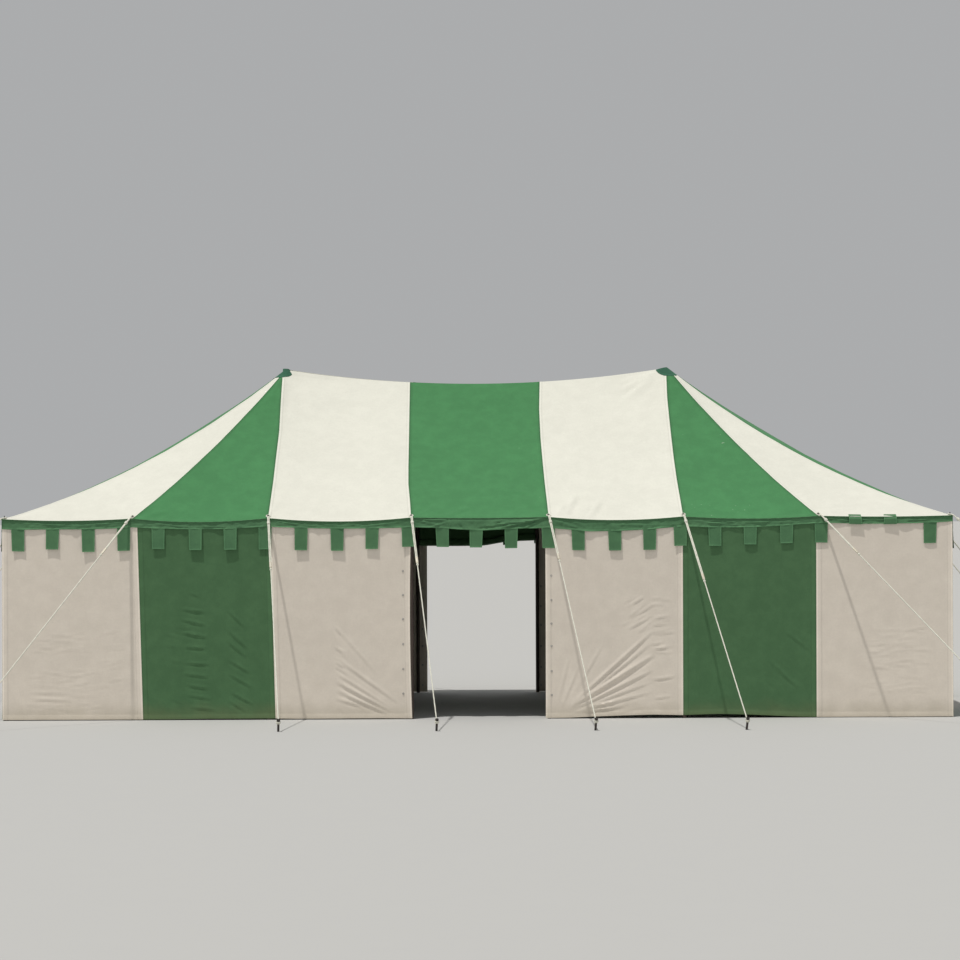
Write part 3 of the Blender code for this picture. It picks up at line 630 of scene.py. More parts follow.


# The green cloths' edge below one paints shade of the felled seams along their side edges; the white cloths'
# edge above one lightens theirs.
ROOF_WHITE = canvas_material(
    "roof_white_canvas", (0.775, 0.765, 0.675), (0.762, 0.752, 0.663), 1.03, mottle=0.03, edge=1.03
)
ROOF_GREEN = canvas_material(
    "roof_green_canvas", (0.067, 0.246, 0.089), (0.061, 0.228, 0.082), 1.0, edge=0.72, flecks=0.5
)
WALL_WHITE = canvas_material(
    "wall_white_canvas", (0.85, 0.77, 0.668), (0.825, 0.745, 0.645), 1.05, 0.3, 0.025, WALL_SEAM_WIDTH, 1.18
)
WALL_GREEN = canvas_material(
    "wall_green_canvas", (0.089, 0.195, 0.0875), (0.079, 0.178, 0.079), 1.06, 0.3, 0.04, WALL_SEAM_WIDTH, 0.9
)
BAND_GREEN = canvas_material("valance_green_canvas", (0.097, 0.229, 0.1075), (0.085, 0.205, 0.097), 1.3)
CAP_GREEN = canvas_material("cap_green_canvas", (0.042, 0.15, 0.088), (0.036, 0.125, 0.076), 1.1, mottle=0.1)
# Each rope's second colour is the painted shade in the grooves between its strands.
GUY_ROPE = rope_material("guy_rope_lay", (0.88, 0.87, 0.76), (0.60, 0.58, 0.47))
EDGE_ROPE = rope_material("edge_rope_lay", (0.09, 0.215, 0.10), (0.06, 0.155, 0.068), 0.03)
# The poles' wood is made very dark so that they sink into the shaded inside of the tent: partly the wood's
# own tone, partly painted shade.
SHADE_DARKENED_POLE_WOOD = wood_material("turned_pole_wood_shade_darkened", (0.085, 0.058, 0.045), (0.05, 0.034, 0.027))
SLIDER_WOOD = wood_material("pale_slider_wood", (0.82, 0.78, 0.66), (0.68, 0.60, 0.46))
DARK_STEEL = steel_material("weathered_steel", (0.075, 0.07, 0.068), (0.16, 0.07, 0.035))
BRIGHT_STEEL = steel_material("eyelet_zinc", (0.46, 0.45, 0.43), (0.30, 0.24, 0.19), 0.25)


# Roof

def hang(along, half, side):
    """How far along its hang between two poles a place of the eave is, and the bay that it is in."""
    if side == "front":
        along = np.interp(along, EVEN_JOINTS + FRONT_SHIFTS, EVEN_JOINTS)
    bay = (along + half) / BAY
    share = bay % 1.0
    return 4 * share * (1 - share), np.clip(bay.astype(int), 0, FRONT_BAYS - 1)


def eave_dip(along, half, side):
    """How far the roof's edge hangs between the poles."""
    depth, bay = hang(np.asarray(along, float), half, side)
    return depth * (FRONT_DIPS[bay] if side == "front" else EAVE_DIP)


def colour_of(number, white, green):
    """Cloths alternate, and the first is white."""
    return (white, "white_cloth") if number % 2 == 0 else (green, "green_cloth")


def roof_cloth(side, bay, feet, tops, step, dip):
    """One cloth between two seams, from the eave to the ridge or peak."""
    slope = grid_lines(SLOPE_LENGTH, step * 1.1, 0.006, *edge_lines(HEM_DEPTH)) / SLOPE_LENGTH
    shares = grid_lines(BAY, step, 0.008, *edge_lines(SEAM_WIDTH), 0.04) / BAY
    rise, share = np.meshgrid(slope, shares, indexing="ij")
    left, right = (foot + (np.array(top) - foot) * rise[..., None] for foot, top in zip(feet, tops))
    width = np.linalg.norm(right - left, axis=2)
    gap = (right - left) / np.maximum(width, 1e-6)[..., None] * HALF_GAP
    plan = left + gap + (right - left - 2 * gap) * share[..., None]
    x = plan[..., 0]
    y = plan[..., 1]
    from_side = np.minimum(share, 1 - share) * width
    height = roof_height(x, y) + ROOF_LIFT
    x = x + front_shift(x, y)
    bulge = 4 * share * (1 - share)
    height -= bulge * dip * (1 - rise) ** 4
    height -= bulge * BELLY * np.sin(math.pi * np.minimum(rise * 1.05, 1.0)) ** 0.8
    height += roof_relief(x, y) * smooth(0.0, 0.03, rise) * smooth(0.0, 0.02, 1 - rise)
    height += SEAM_RISE * within(SEAM_WIDTH, from_side)
    down = run_along(np.stack((x, y, height), -1))
    height += SEAM_RISE * within(HEM_DEPTH, down)
    points = np.stack((x, y, height), -1)
    shell = sheet_shell(points, CLOTH, UP, (share * BAY, down), (from_side, down))
    material, slot = colour_of(bay + (side in ENDS), ROOF_WHITE, ROOF_GREEN)
    node = f"roof_{side}_cloth_{bay + 1}"
    piece = make_piece(f"roof_{side}_canvas_{bay + 1}", [shell], material, [node])


def make_roof():
    near_peak = 0.985
    for side, sign in SIGNS.items():
        step = 0.026 if side == "front" else 0.055
        for bay in range(FRONT_BAYS if side in LONG_SIDES else END_BAYS):
            if side in LONG_SIDES:
                left = np.array((-HALF_LENGTH + bay * BAY, sign * HALF_DEPTH))
                right = left + (BAY, 0.0)
            else:
                left = np.array((sign * HALF_LENGTH, -HALF_DEPTH + bay * BAY))
                right = left + (0.0, BAY)
            if side in LONG_SIDES and GORE_BAYS <= bay < FRONT_BAYS - GORE_BAYS:
                tops = ((left[0], sign * HALF_GAP), (right[0], sign * HALF_GAP))
            else:
                peak = np.array((math.copysign(PEAK_X, left[0] + right[0]), 0.0))
                tops = (left + (peak - left) * near_peak, right + (peak - right) * near_peak)
            dip = FRONT_DIPS[bay] if side == "front" else EAVE_DIP
            roof_cloth(side, bay, (left, right), tops, step, dip)


def make_peak_caps():
    """A hemmed cap over each peak, pointed along the ridge and square over the end's cloths."""
    inner_reach = 0.112
    half_width = 0.092
    lift = 0.0042
    peak_rise = 0.003
    pucker = 0.0016
    hem_rise = 0.001
    reaches = np.array((0.005, 0.06, 0.14, 0.25, 0.4, 0.55, 0.7, 0.8, 0.86, 0.9, 0.95, 1.0))
    reach, turn = np.meshgrid(reaches, np.linspace(0.0, FULL_TURN, 73), indexing="ij")
    cosine, sine = np.cos(turn), np.sin(turn)
    for side, sign, outer_reach, arch in (("left", -1, 0.150, 0.012), ("right", 1, 0.126, 0.007)):
        outward = smooth(-0.4, 0.5, sign * cosine)
        power = 1.5 + 1.2 * outward
        long_reach = inner_reach + (outer_reach - inner_reach) * outward
        cross_reach = half_width + 0.012 * outward
        across = (np.abs(cosine) ** power + np.abs(sine) ** power) ** (-1 / power) * reach
        x = sign * PEAK_X + long_reach * cosine * across
        y = cross_reach * sine * across
        height = roof_height(x, y) + lift + peak_rise * (1 - reach) ** 2
        height += pucker * reach * np.sin(7 * turn + sign) * (1 - 0.4 * reach)
        height += hem_rise * smooth(0.82, 0.86, reach)
        height += arch * (1 - outward) * 4 * reach * (1 - reach)
        x = x + front_shift(x, y)
        height += np.minimum(roof_relief(x, y), 0.002) * smooth(0.0, 0.4, reach)
        wide = reach * 0.1
        points = np.stack((x, y, height), -1)
        shell = sheet_shell(points, CAP_CLOTH, UP, (turn * wide, wide), (0.102 - wide, 1.0))
        piece = make_piece(f"{side}_peak_cap_canvas", [shell], CAP_GREEN, [f"{side}_peak_cap"])


# Walls

# Folds of each bay of the long sides and of an end, as start and end along the wall and up, then width
# and height in millimetres
WALL_FOLDS = {
    0: (
        (-4.45, 0.21, -4.05, 0.2, 12, 4), (-4.45, 0.28, -4.1, 0.26, 12, 3.2),
    ),
    1: (
        (-2.87, 1.27, -2.76, 1.22, 12, 4), (-2.95, 1.1, -2.7, 1.07, 12, 7.2),
        (-2.96, 1, -2.7, 0.94, 12, 6.6), (-2.96, 0.87, -2.69, 0.82, 12, 7.4),
        (-2.95, 0.73, -2.69, 0.71, 12, 6.6), (-2.93, 0.57, -2.67, 0.55, 12, 6.6),
        (-2.95, 0.46, -2.69, 0.43, 12, 5.6), (-2.93, 0.35, -2.69, 0.31, 12, 6),
        (-2.93, 0.25, -2.67, 0.21, 12, 5.2), (-2.9, 0.13, -2.62, 0.1, 12, 4.8),
        (-2.48, 1.09, -2.3, 0.91, 12, 5.6), (-2.48, 0.89, -2.28, 0.7, 12, 6.6),
        (-2.5, 0.79, -2.3, 0.62, 12, 6), (-2.49, 0.6, -2.26, 0.46, 12, 6.4),
        (-2.49, 0.46, -2.25, 0.32, 12, 6), (-2.48, 0.28, -2.24, 0.15, 12, 6),
        (-2.5, 0.2, -2.32, 0.08, 12, 5),
    ),
    2: (
        (-1.4, 0.92, -1.33, 0.83, 11, 5), (-1.36, 0.88, -0.98, 0.44, 13, 3.4),
        (-1.41, 0.73, -1.28, 0.6, 11, 4.6), (-1.41, 0.62, -0.78, 0.16, 14, 5.6),
        (-1.41, 0.53, -1.28, 0.45, 11, 5), (-1.41, 0.47, -0.84, 0.1, 14, 6),
        (-1.41, 0.38, -0.84, 0.07, 15, 9.6), (-1.41, 0.29, -0.88, 0.05, 14, 8.8),
        (-1.41, 0.21, -1.15, 0.13, 12, 5.6),
    ),
    4: (
        (0.93, 0.14, 1.73, 0.87, 15, 9.5), (0.98, 0.16, 1.73, 0.76, 13, 5.5),
        (0.9, 0.1, 1.75, 0.64, 19, 12.5), (0.9, 0.07, 1.73, 0.48, 14, 8.5),
        (1.05, 0.12, 1.72, 0.36, 12, 5), (0.92, 0.06, 1.72, 0.26, 12, 5.5),
        (0.9, 0.05, 1.45, 0.12, 13, 4.5), (0.84, 0.12, 1, 0.52, 13, 4.5),
        (0.8, 0.16, 0.91, 0.62, 12, 4), (0.98, 0.28, 1.24, 0.74, 13, 3.6),
        (1.52, 1, 1.74, 1.13, 12, 4), (1.48, 0.88, 1.72, 1.02, 12, 4.4),
    ),
    5: (
        (3.06, 0.86, 3.32, 0.66, 14, 4.2), (2.92, 0.54, 3.2, 0.29, 14, 4.2),
    ),
    6: (),
    "end": (
        (-1.75, 0.35, -1.1, 0.55, 26, 5), (-1.8, 0.6, -1.15, 0.72, 26, 4.5),
        (-0.45, 0.9, -0.2, 0.3, 24, 4.5), (0.1, 0.7, 0.45, 0.15, 24, 5),
        (0.85, 0.2, 1.6, 0.45, 28, 6), (0.9, 0.4, 1.7, 0.8, 28, 5.5),
    ),
}
# Zones of small creases in the same bays, with the creases' width and height in millimetres
WALL_CREASES = {
    0: (
        (-4.6, 0.1, -3.7, 0.86, 44, 0.06, 0.22, 10, 1.6),
    ),
    1: (
        (-3.25, 0.05, -3, 0.95, 10, -0.2, 0.16, 11, 2),
    ),
    2: (
        (-1.42, 0.1, -1.38, 0.85, 14, -0.7, 0.12, 10, 3),
    ),
    4: (
        (1.7, 0.15, 1.74, 1.2, 16, 0.1, 0.18, 11, 3.4),
        (1.4, 0.75, 1.6, 1.2, 12, 0.7, 0.14, 11, 2.6), (1, 0.05, 1.4, 0.14, 8, 0.1, 0.24, 11, 2.2),
    ),
    5: (
        (2.85, 0.15, 3.05, 0.6, 8, -0.7, 0.18, 12, 1.8),
    ),
    6: (
        (3.75, 0.22, 4.35, 0.88, 46, 0.02, 0.22, 10, 1.7),
    ),
    "end": (
        (-1.8, 0.1, -1.2, 0.6, 8, 0.1, 0.34, 22, 2.4), (0.85, 0.1, 1.3, 0.8, 8, 0.2, 0.34, 22, 2.4),
    ),
}
# Height of the walls' foot above the ground in millimetres, at places along the front
HEM_PLACES = (
    -4.73, -3.1, -2.7, -2.05, -1.8, -1.0, -0.65, 0.68, 0.9,
    1.18, 1.46, 1.74, 2.02, 2.37, 2.72, 3.08, 3.36, 4.73,
)
HEM_HEIGHTS = (8, 8, 13, 14, 9, 11, 8, 6, 9, 20, 30, 36, 30, 40, 32, 14, 6, 6)
# Lean of the front walls' seams to the right, at the eave and the foot, and the bow between, in millimetres
LEAN_PLACES = (-4.73, -3.375, -2.025, -0.65, 0.68, 2.025, 3.375, 4.73)
TOP_LEANS = (0, -5, -34, -5, -6, 17, -8, 0)
FOOT_LEANS = (0, 50, 14, -3, -7, 13, -12, 0)
BOWS = (0, 0, 0, -18, 2, 0, 0, 0)


def wall_place(side, along, out, up):
    """World points of a side wall from lengths along it, out of it and up."""
    if side in LONG_SIDES:
        return np.stack(np.broadcast_arrays(along, SIGNS[side] * (HALF_DEPTH + out), up), -1)
    return np.stack(np.broadcast_arrays(SIGNS[side] * (HALF_LENGTH + out), along, up), -1)


def outward_from(side):
    return (0, SIGNS[side], 0) if side in LONG_SIDES else (SIGNS[side], 0, 0)


def wall_cloth(side, bay, left, right, free_left=False, free_right=False):
    """One hanging wall cloth, pulled to its poles and the line at its top."""
    width = right - left
    step = {"front": 0.0145, "rear": 0.045}.get(side, 0.040)
    number = bay + (side in ENDS)
    shares = grid_lines(width, step, 0.006, *edge_lines(WALL_SEAM_WIDTH), 0.07) / width
    rises = grid_lines(WALL_TOP, step * 1.12, 0.006, *edge_lines(HEM_DEPTH)) / WALL_TOP
    rise, share = np.meshgrid(rises, shares, indexing="ij")
    along = left + width * share
    if side in LONG_SIDES:
        half = HALF_LENGTH
        kind = bay
        foot = np.interp(along, HEM_PLACES, HEM_HEIGHTS) / 1000
    else:
        half = HALF_DEPTH
        kind = "end"
        foot = HEM_HEIGHT + 0.012 * (1 + soft_noise(along, 0 * along, 1.6, 50 + (side == "right"))) / 2
    strength = 0.7 if side == "rear" else 1.0
    up = foot + (WALL_TOP - eave_dip(along, half, side) - foot) * rise
    seed = 60 + number + {"front": 0, "rear": 20, "left": 40, "right": 60}[side]
    out = 0.0016 * soft_noise(along, up, 0.55, seed, 3.0)
    out += 0.0006 * soft_noise(along, up, 0.16, seed + 7, 1.6)
    out += 0.0022 * soft_noise(along, up, 0.33, seed + 9, 6.0) * (1 - smooth(0.05, 0.6, up))
    for fold in WALL_FOLDS[kind]:
        out += strength * crease(along, up, fold)
    for turn, zone in enumerate(WALL_CREASES[kind]):
        out += strength * small_creases(along, up, zone, seed + 100 * turn)
    near_pole = 0.0
    for reach, free in ((share * width, free_left), ((1 - share) * width, free_right)):
        pull = smooth(0.0, 0.10, reach)
        out *= 0.35 + 0.65 * pull if free else pull
        near_pole = np.maximum(near_pole, 1 - smooth(0.03, 0.09, reach))
    out *= 1 - smooth(1.42, 1.66, up)
    inward_limit = -0.0008 * near_pole - 0.02 * (1 - near_pole)
    out = np.where(near_pole > 0, np.maximum(out, inward_limit), out)
    from_side = np.minimum(share, 1 - share) * width
    out += SEAM_RISE * within(WALL_SEAM_WIDTH, from_side) * (1 - smooth(1.6, 1.7, up))
    out += SEAM_RISE * within(HEM_DEPTH, up - foot)
    if side == "front":
        top, low, bow = (np.interp(along, LEAN_PLACES, row) / 1000 for row in (TOP_LEANS, FOOT_LEANS, BOWS))
        along = along + low + (top - low) * rise + 4 * bow * rise * (1 - rise)
    points = wall_place(side, along, out - WALL_OUTER, up)
    shell = sheet_shell(points, CLOTH, outward_from(side), (along, up), (from_side, up - foot))
    material, slot = colour_of(number, WALL_WHITE, WALL_GREEN)
    node = f"{side}_wall_cloth_{bay + 1}"
    piece = make_piece(f"{side}_wall_canvas_{bay + 1}", [shell], material, [node])


def make_walls():
    for side in LONG_SIDES:
        for bay in range(FRONT_BAYS):
            if bay == DOOR_BAY:
                continue
            left = -HALF_LENGTH + bay * BAY + HALF_GAP
            right = left + BAY - 2 * HALF_GAP
            if bay == 0:
                left = -HALF_LENGTH + WALL_OUTER
            if bay == FRONT_BAYS - 1:
                right = HALF_LENGTH - WALL_OUTER
            if bay == DOOR_BAY - 1:
                right += DOOR_LAPS[side][0]
            if bay == DOOR_BAY + 1:
                left -= DOOR_LAPS[side][1]
            wall_cloth(side, bay, left, right, bay == DOOR_BAY + 1, bay == DOOR_BAY - 1)
    corner = HALF_DEPTH - WALL_OUTER - CLOTH - 0.001
    for side in ENDS:
        for bay in range(END_BAYS):
            left = max(-corner, -HALF_DEPTH + bay * BAY + HALF_GAP)
            right = min(corner, -HALF_DEPTH + (bay + 1) * BAY - HALF_GAP)
            wall_cloth(side, bay, left, right)


EYELET_RADIUS = 0.0075
EYELET_WIRE = 0.0032
# Rows of metal eyelets down the cloths beside both doorways: place along the wall and heights
EYELETS = {
    "front": (
        (-0.741, (0.255, 0.4985, 0.747, 0.995, 1.233, 1.472)),
        (0.733, (0.235, 0.4725, 0.721, 0.944, 1.1775, 1.42)),
    ),
    "rear": (
        (-0.625, (0.083, 0.311, 0.526, 0.718, 0.95, 1.18)),
        (0.716, (0.079, 0.283, 0.52, 0.758, 0.973, 1.199)),
    ),
}


def make_door_eyelets():
    for side, columns in EYELETS.items():
        shells = []
        for x, heights in columns:
            for z in heights:
                for out in (0.001, -CLOTH - 0.001):
                    centre = wall_place(side, x, out - WALL_OUTER, z)
                    shells.append(ring_shell(centre, outward_from(side), EYELET_RADIUS, EYELET_WIRE, 18, 6))
        make_piece(f"{side}_door_eyelets", shells, BRIGHT_STEEL)


def tie_shell(x, middle, height, outer):
    """A tape from the eave round the roll at one place and back up to the eave."""
    thickness = 0.0012
    gap = outer - CLOTH - 0.003 - middle
    rise = 0.10
    radius = ROLL_RADIUS + thickness
    first = math.atan2(rise, gap) + math.acos(radius / math.hypot(gap, rise))
    turns = np.linspace(first, FULL_TURN, 30)
    inner_drop = np.linspace(WALL_TOP - 0.002, height + rise, 12)
    outer_climb = np.linspace(height, WALL_TOP - 0.002, 14)[1:]
    inner_across = np.full(inner_drop.shape, middle + gap)
    outer_across = np.full(outer_climb.shape, middle + radius)
    round_roll = middle + radius * np.cos(turns)
    across = np.concatenate((inner_across, round_roll, outer_across))
    up = np.concatenate((inner_drop, height + radius * np.sin(turns), outer_climb))
    places = x + np.array((-0.011, -0.009, 0.0, 0.009, 0.011))
    points = np.stack(np.broadcast_arrays(places, across[:, None], up[:, None]), -1)
    return sheet_shell(points, thickness, -UP, (points[..., 0], run_along(points)), (1.0, 1.0))


def make_rear_door_cloth():
    """The rear doorway's cloth: it hangs from the eave, is wound up on itself, and is tied."""
    outer = HALF_DEPTH - WALL_OUTER - 0.0023
    middle = outer - ROLL_RADIUS
    half_width = BAY / 2 - POLE_RADIUS - 0.0003
    turns_wound = 10
    core = 0.008
    start = ROLL_RADIUS - 0.0022
    spreads = np.linspace(-0.1, 0.1, 9)
    shares = np.linspace(-1.0, 1.0, 37)
    drops = np.mean([np.interp(shares + spread, ROLL_SHARES, ROLL_DROPS) for spread in spreads], axis=0)
    heights = EAVE_HEIGHT - drops
    falls = np.linspace(0.0, 1.0, 12)[:-1, None]
    strip_up = WALL_TOP + (heights - WALL_TOP) * falls
    strip_across = middle + start - 0.0008 * (1 + np.sin(9 * shares)) * falls
    turns = np.linspace(0.0, FULL_TURN * turns_wound, 26 * turns_wound + 1)[:, None]
    radius = start - (start - core) * turns / turns[-1]
    swell = 0.022 * np.sin(2 * turns + 5 * shares + 1) + 0.018 * np.sin(3 * turns - 8 * shares) - 0.01
    radius = radius * (1 + swell * smooth(0.3, 2.0, turns))
    across = np.concatenate((strip_across, middle + radius * np.cos(turns)))
    up = np.concatenate((strip_up, heights - radius * np.sin(turns)))
    slip = np.concatenate((np.zeros((len(falls), 1)), 0.006 * (1 - np.cos(1.3 * turns))))
    along = shares * (half_width - slip)
    points = np.stack((along, across, up), -1)
    run = run_along(points)
    length = float(run[-1].mean())
    from_side = (1 - np.abs(shares)) * half_width
    shell = sheet_shell(points, CLOTH, (0, 1, 0), (along, run), (from_side, length - run))
    node = "rear_door_cloth_rolled"
    piece = make_piece("rear_door_canvas_rolled", [shell], WALL_GREEN, [node])
    ties = []
    for x in (-0.36, 0.34):
        height = float(np.interp(x / half_width, shares, heights))
        ties.append(tie_shell(x, middle, height, outer))
    tapes = make_piece("rear_door_ties", ties, BAND_GREEN)


# Valances

# Folds of the front band as places along it and depths below the eave, then width and height in millimetres
BAND_FOLDS = (
    (-2.02, 0.02, -1.75, 0.08, 10, 6), (-1.2, 0.09, -0.75, 0.03, 10, 6),
    (1.2, 0.03, 1.9, 0.08, 10, 6), (2.1, 0.03, 3.2, 0.06, 9, 6), (3.4, 0.03, 4.6, 0.07, 9, 5),
    (-4.1, 0.07, -3.4, 0.03, 10, 5.5), (-0.5, 0.13, -0.24, 0.02, 10, 7),
    (-0.26, 0.13, -0.29, 0, 8, 9), (-0.12, 0.13, -0.2, 0.01, 10, 5), (0.68, 0, 0.22, 0.11, 12, 15),
    (0.66, 0.02, 0, 0.09, 10, 11), (-0.6, 0.03, -0.3, 0.01, 9, 8), (0.66, 0.02, 0.45, 0.13, 10, 8),
    (0.3, 0.01, 0.1, 0.06, 10, 5), (-0.66, 0.02, -0.36, 0.09, 10, 6.5),
    (0.72, 0.02, 1.05, 0.11, 12, 6), (0.7, 0.01, 0.98, 0.06, 10, 5), (2.05, 0.03, 2.6, 0.09, 11, 6),
    (2.1, 0.08, 2.55, 0.05, 10, 5), (2.65, 0.02, 3.1, 0.08, 11, 4.5), (-2, 0.02, -1.6, 0.09, 11, 4),
    (-3.3, 0.02, -2.8, 0.1, 11, 5.5), (-2.9, 0.06, -2.3, 0.1, 12, 4.5),
    (-4.6, 0.02, -3.9, 0.08, 12, 4.5), (3.42, 0.02, 3.8, 0.1, 11, 4.5),
)
# How far each tab of the front hangs from its even place, in centimetres
TAB_SHIFTS = (
    0.0, -0.6, -0.4, -0.2, -1.1, 0.6, 0.2, -0.1, 0.6, 1.2, 0.9, 1.6, 0.2, -1.1,
    -1.4, 0.2, -5.1, -3.9, -4.2, -9.0, -9.9, -9.7, -8.6, -9.4, -10.2, -11.0, -6.4,
)
# How much higher than the others the foot of each tab of the front is, in centimetres
TAB_LIFTS = (
    0.8, 3.2, 0.5, 0.8, 2.9, 2.1, 2.1, 1.6, 1.2, 0.8, 2.2, 3.5, 3.8, 3.5,
    2.4, 1.6, 0.0, 0.0, 0.2, 3.4, 3.8, 5.4, 6.2, 6.0, 6.0, 6.0, 5.6,
)
# How much higher the foot of the front's band is, in millimetres, at places along it
LIFT_PLACES = (
    -4.7, -4.2, -3.4, -2.4, -1.4, -0.7, -0.35, 0.0, 0.35, 0.7, 1.1, 1.5, 1.9, 2.3, 2.7, 3.3, 3.8, 4.7
)
BAND_LIFTS = (32, 46, 44, 45, 46, 34, 40, 20, 30, 24, 2, 12, 28, 34, 42, 58, 70, 70)
# Half width of the slack stretch of band over the front doorway
SLACK_REACH = 0.60
BAND_HEM = 0.019
TAB_HEM = 0.011
TAB_OVERLAP = 0.016
BAND_DEPTHS = np.array(
    (0.0, 0.01, 0.022, 0.036, 0.05, 0.064, 0.078, 0.09, 0.1, 0.104, 0.108, 0.116, BAND_DEPTH)
)
TAB_SHARES = np.array((-1.0, -0.88, -0.8, -0.5, -0.2, 0.2, 0.5, 0.8, 0.88, 1.0))
TAB_FALLS = np.array((0.0, 0.06, 0.12, 0.2, 0.3, 0.4, 0.5, 0.6, 0.7, 0.8, 0.87, 0.91, 0.95, 1.0))


def tab_centres(length):
    count = int((length - TAB_WIDTH) / TAB_PITCH) + 1
    first = -(count - 1) * TAB_PITCH / 2
    return [first + number * TAB_PITCH for number in range(count)]


def band_out(along, depth, half, side, seed):
    """How far the band stands out of the eave line at a depth below it."""
    fall = depth / BAND_DEPTH
    corner = smooth(0.0, 0.2, half - np.abs(along))
    out = 0.008 * fall + 0.0045 * fall * soft_noise(along, 0 * along, 0.33, seed)
    out = out + 0.0030 * smooth(0.0, 0.3, fall) * soft_noise(along, depth, 0.13, seed + 1, 0.5)
    out = out + 0.0016 * smooth(0.0, 0.3, fall) * soft_noise(along, depth, 0.06, seed + 3, 0.6)
    if side == "front":
        slack = smooth(0.0, 0.15, SLACK_REACH - np.abs(along - 0.03))
        out = out + 0.009 * slack * smooth(0.0, 0.2, fall)
        for fold in BAND_FOLDS:
            out = out + crease(along, depth, fold)
    else:
        out = out + 0.003 * fall * soft_noise(along, depth, 0.16, seed + 2, 0.5)
    return np.maximum(out, 0.0) * (0.15 + 0.85 * corner)


def band_foot(along, half, side):
    """Height of the band's lower edge."""
    foot = WALL_TOP - BAND_DEPTH - EAVE_DIP * hang(along, half, side)[0]
    foot = foot + 0.002 * soft_noise(along, 0 * along, 0.45, 7)
    return foot + (np.interp(along, LIFT_PLACES, BAND_LIFTS) / 1000 if side == "front" else 0.0)


def tab_shell(side, half, seed, centre, draws, lift, turned_up):
    """One tab of the band, which hangs or is turned up on the roof's edge."""
    lean, slope, curl, sweep, drop = draws
    fall, share = np.meshgrid(TAB_FALLS, TAB_SHARES, indexing="ij")
    width = TAB_WIDTH + (TAB_TIP_WIDTH - TAB_WIDTH) * fall
    place = centre + share * width / 2 + 0.006 * lean * fall
    root = band_foot(place, half, side) + TAB_OVERLAP
    tip = WALL_TOP - BAND_DEPTH - TAB_LENGTH - EAVE_DIP / 2 * hang(place, half, side)[0]
    tip = tip + (lift if side == "front" else 0.005 * drop)
    reach = float(np.mean(root - tip))
    rim = np.minimum((1 - np.abs(share)) * width / 2, (1 - fall) * reach)
    stand = band_out(np.full(fall.shape, centre), BAND_DEPTH, half, side, seed)
    if turned_up:
        turn = np.clip(fall * 8, 0.0, 1.0) * math.pi
        out = stand + 0.006 * (1 - np.cos(turn)) + 0.004 * share * lean
        out = out + 0.006 * np.sin(turn) - 0.05 * smooth(0.55, 1.0, fall)
        rise = np.maximum(fall - 0.06, 0.0)
        up = root - TAB_OVERLAP - 0.006 * np.sin(turn) + rise * reach * (0.50 - 0.04 * fall)
        place = place + 0.012 * slope * fall
    else:
        out = stand - 0.0022 + (0.008 + 0.007 * slope) * fall
        out = out + 0.004 * curl * share**2 * fall + 0.003 * sweep * share * fall
        out = np.maximum(out, -0.0005)
        up = root + fall * (tip - root)
    out = out + 0.0010 * within(TAB_HEM, rim)
    points = wall_place(side, place, out, up)
    return sheet_shell(points, CLOTH, outward_from(side), (place, up), (rim * SEAM_WIDTH / TAB_HEM, 1.0))


def make_valance(side, half, turned_up, seed):
    step = 0.0135 if side == "front" else 0.020
    places = np.linspace(-half, half, int(2 * half / step) + 1)
    depth, along = np.meshgrid(BAND_DEPTHS, places, indexing="ij")
    above = BAND_DEPTH - depth
    out = band_out(along, depth, half, side, seed) + 0.0013 * smooth(0.002, -0.002, above - BAND_HEM)
    up = WALL_TOP - eave_dip(along, half, side)
    up = up + (band_foot(along, half, side) - up) * depth / BAND_DEPTH
    edges = (1.0, above * HEM_DEPTH / BAND_HEM)
    points = wall_place(side, along, out, up)
    shells = [sheet_shell(points, CLOTH, outward_from(side), (along, depth), edges)]
    rng = np.random.default_rng(seed + 5)
    centres = tab_centres(2 * half)
    flat_row = (0,) * len(centres)
    shifts, lifts = (TAB_SHIFTS, TAB_LIFTS) if side == "front" else (flat_row, flat_row)
    for number, centre in enumerate(centres):
        centre = centre + shifts[number] / 100
        draws = rng.uniform(-1, 1, 5)
        turned = number - len(centres) in turned_up
        shells.append(tab_shell(side, half, seed, centre, draws, lifts[number] / 100, turned))
    piece = make_piece(f"{side}_valance_canvas", shells, BAND_GREEN, [f"{side}_valance"])


def make_valances():
    make_valance("front", HALF_LENGTH, (-3, -2), 201)
    make_valance("rear", HALF_LENGTH, (), 221)
    make_valance("left", HALF_DEPTH - WALL_OUTER, (), 241)
    make_valance("right", HALF_DEPTH - WALL_OUTER, (), 261)


# Poles

POLE_PROFILE = (
    (0.0, 0.016), (0.004, 0.0185), (0.05, POLE_RADIUS), (0.7, POLE_RADIUS), (1.4, POLE_RADIUS),
    (1.90, POLE_RADIUS), (1.985, 0.0183), (1.9975, 0.0165),
)
PIN_FOOT = 1.99
PIN_PROFILE = (
    (0.0, PIN_RADIUS), (PIN_RISE + 0.004, PIN_RADIUS),
    (PIN_RISE + 0.008, PIN_RADIUS * 0.8), (PIN_RISE + 0.010, PIN_RADIUS * 0.3),
)
KING_PROFILE = (
    (0.0, 0.024), (0.006, 0.029), (0.03, KING_RADIUS), (1.2, KING_RADIUS), (2.4, KING_RADIUS),
    (3.40, KING_RADIUS), (3.50, 0.027), (3.53, 0.018), (3.535, 0.010),
)
# Iron sleeves of the side poles and king poles: height of the foot, length, radius at the ends and between
FERRULE = (1.90, 0.06, 0.0193, 0.0202)
KING_SLEEVE = (1.72, 0.16, 0.0305, 0.0322)


def sleeve_shell(x, y, foot, length, end_radius, radius, corners):
    profile = ((0.0, end_radius), (0.004, radius), (length - 0.004, radius), (length, end_radius))
    return turned_shell((x, y, foot), UP, profile, corners)


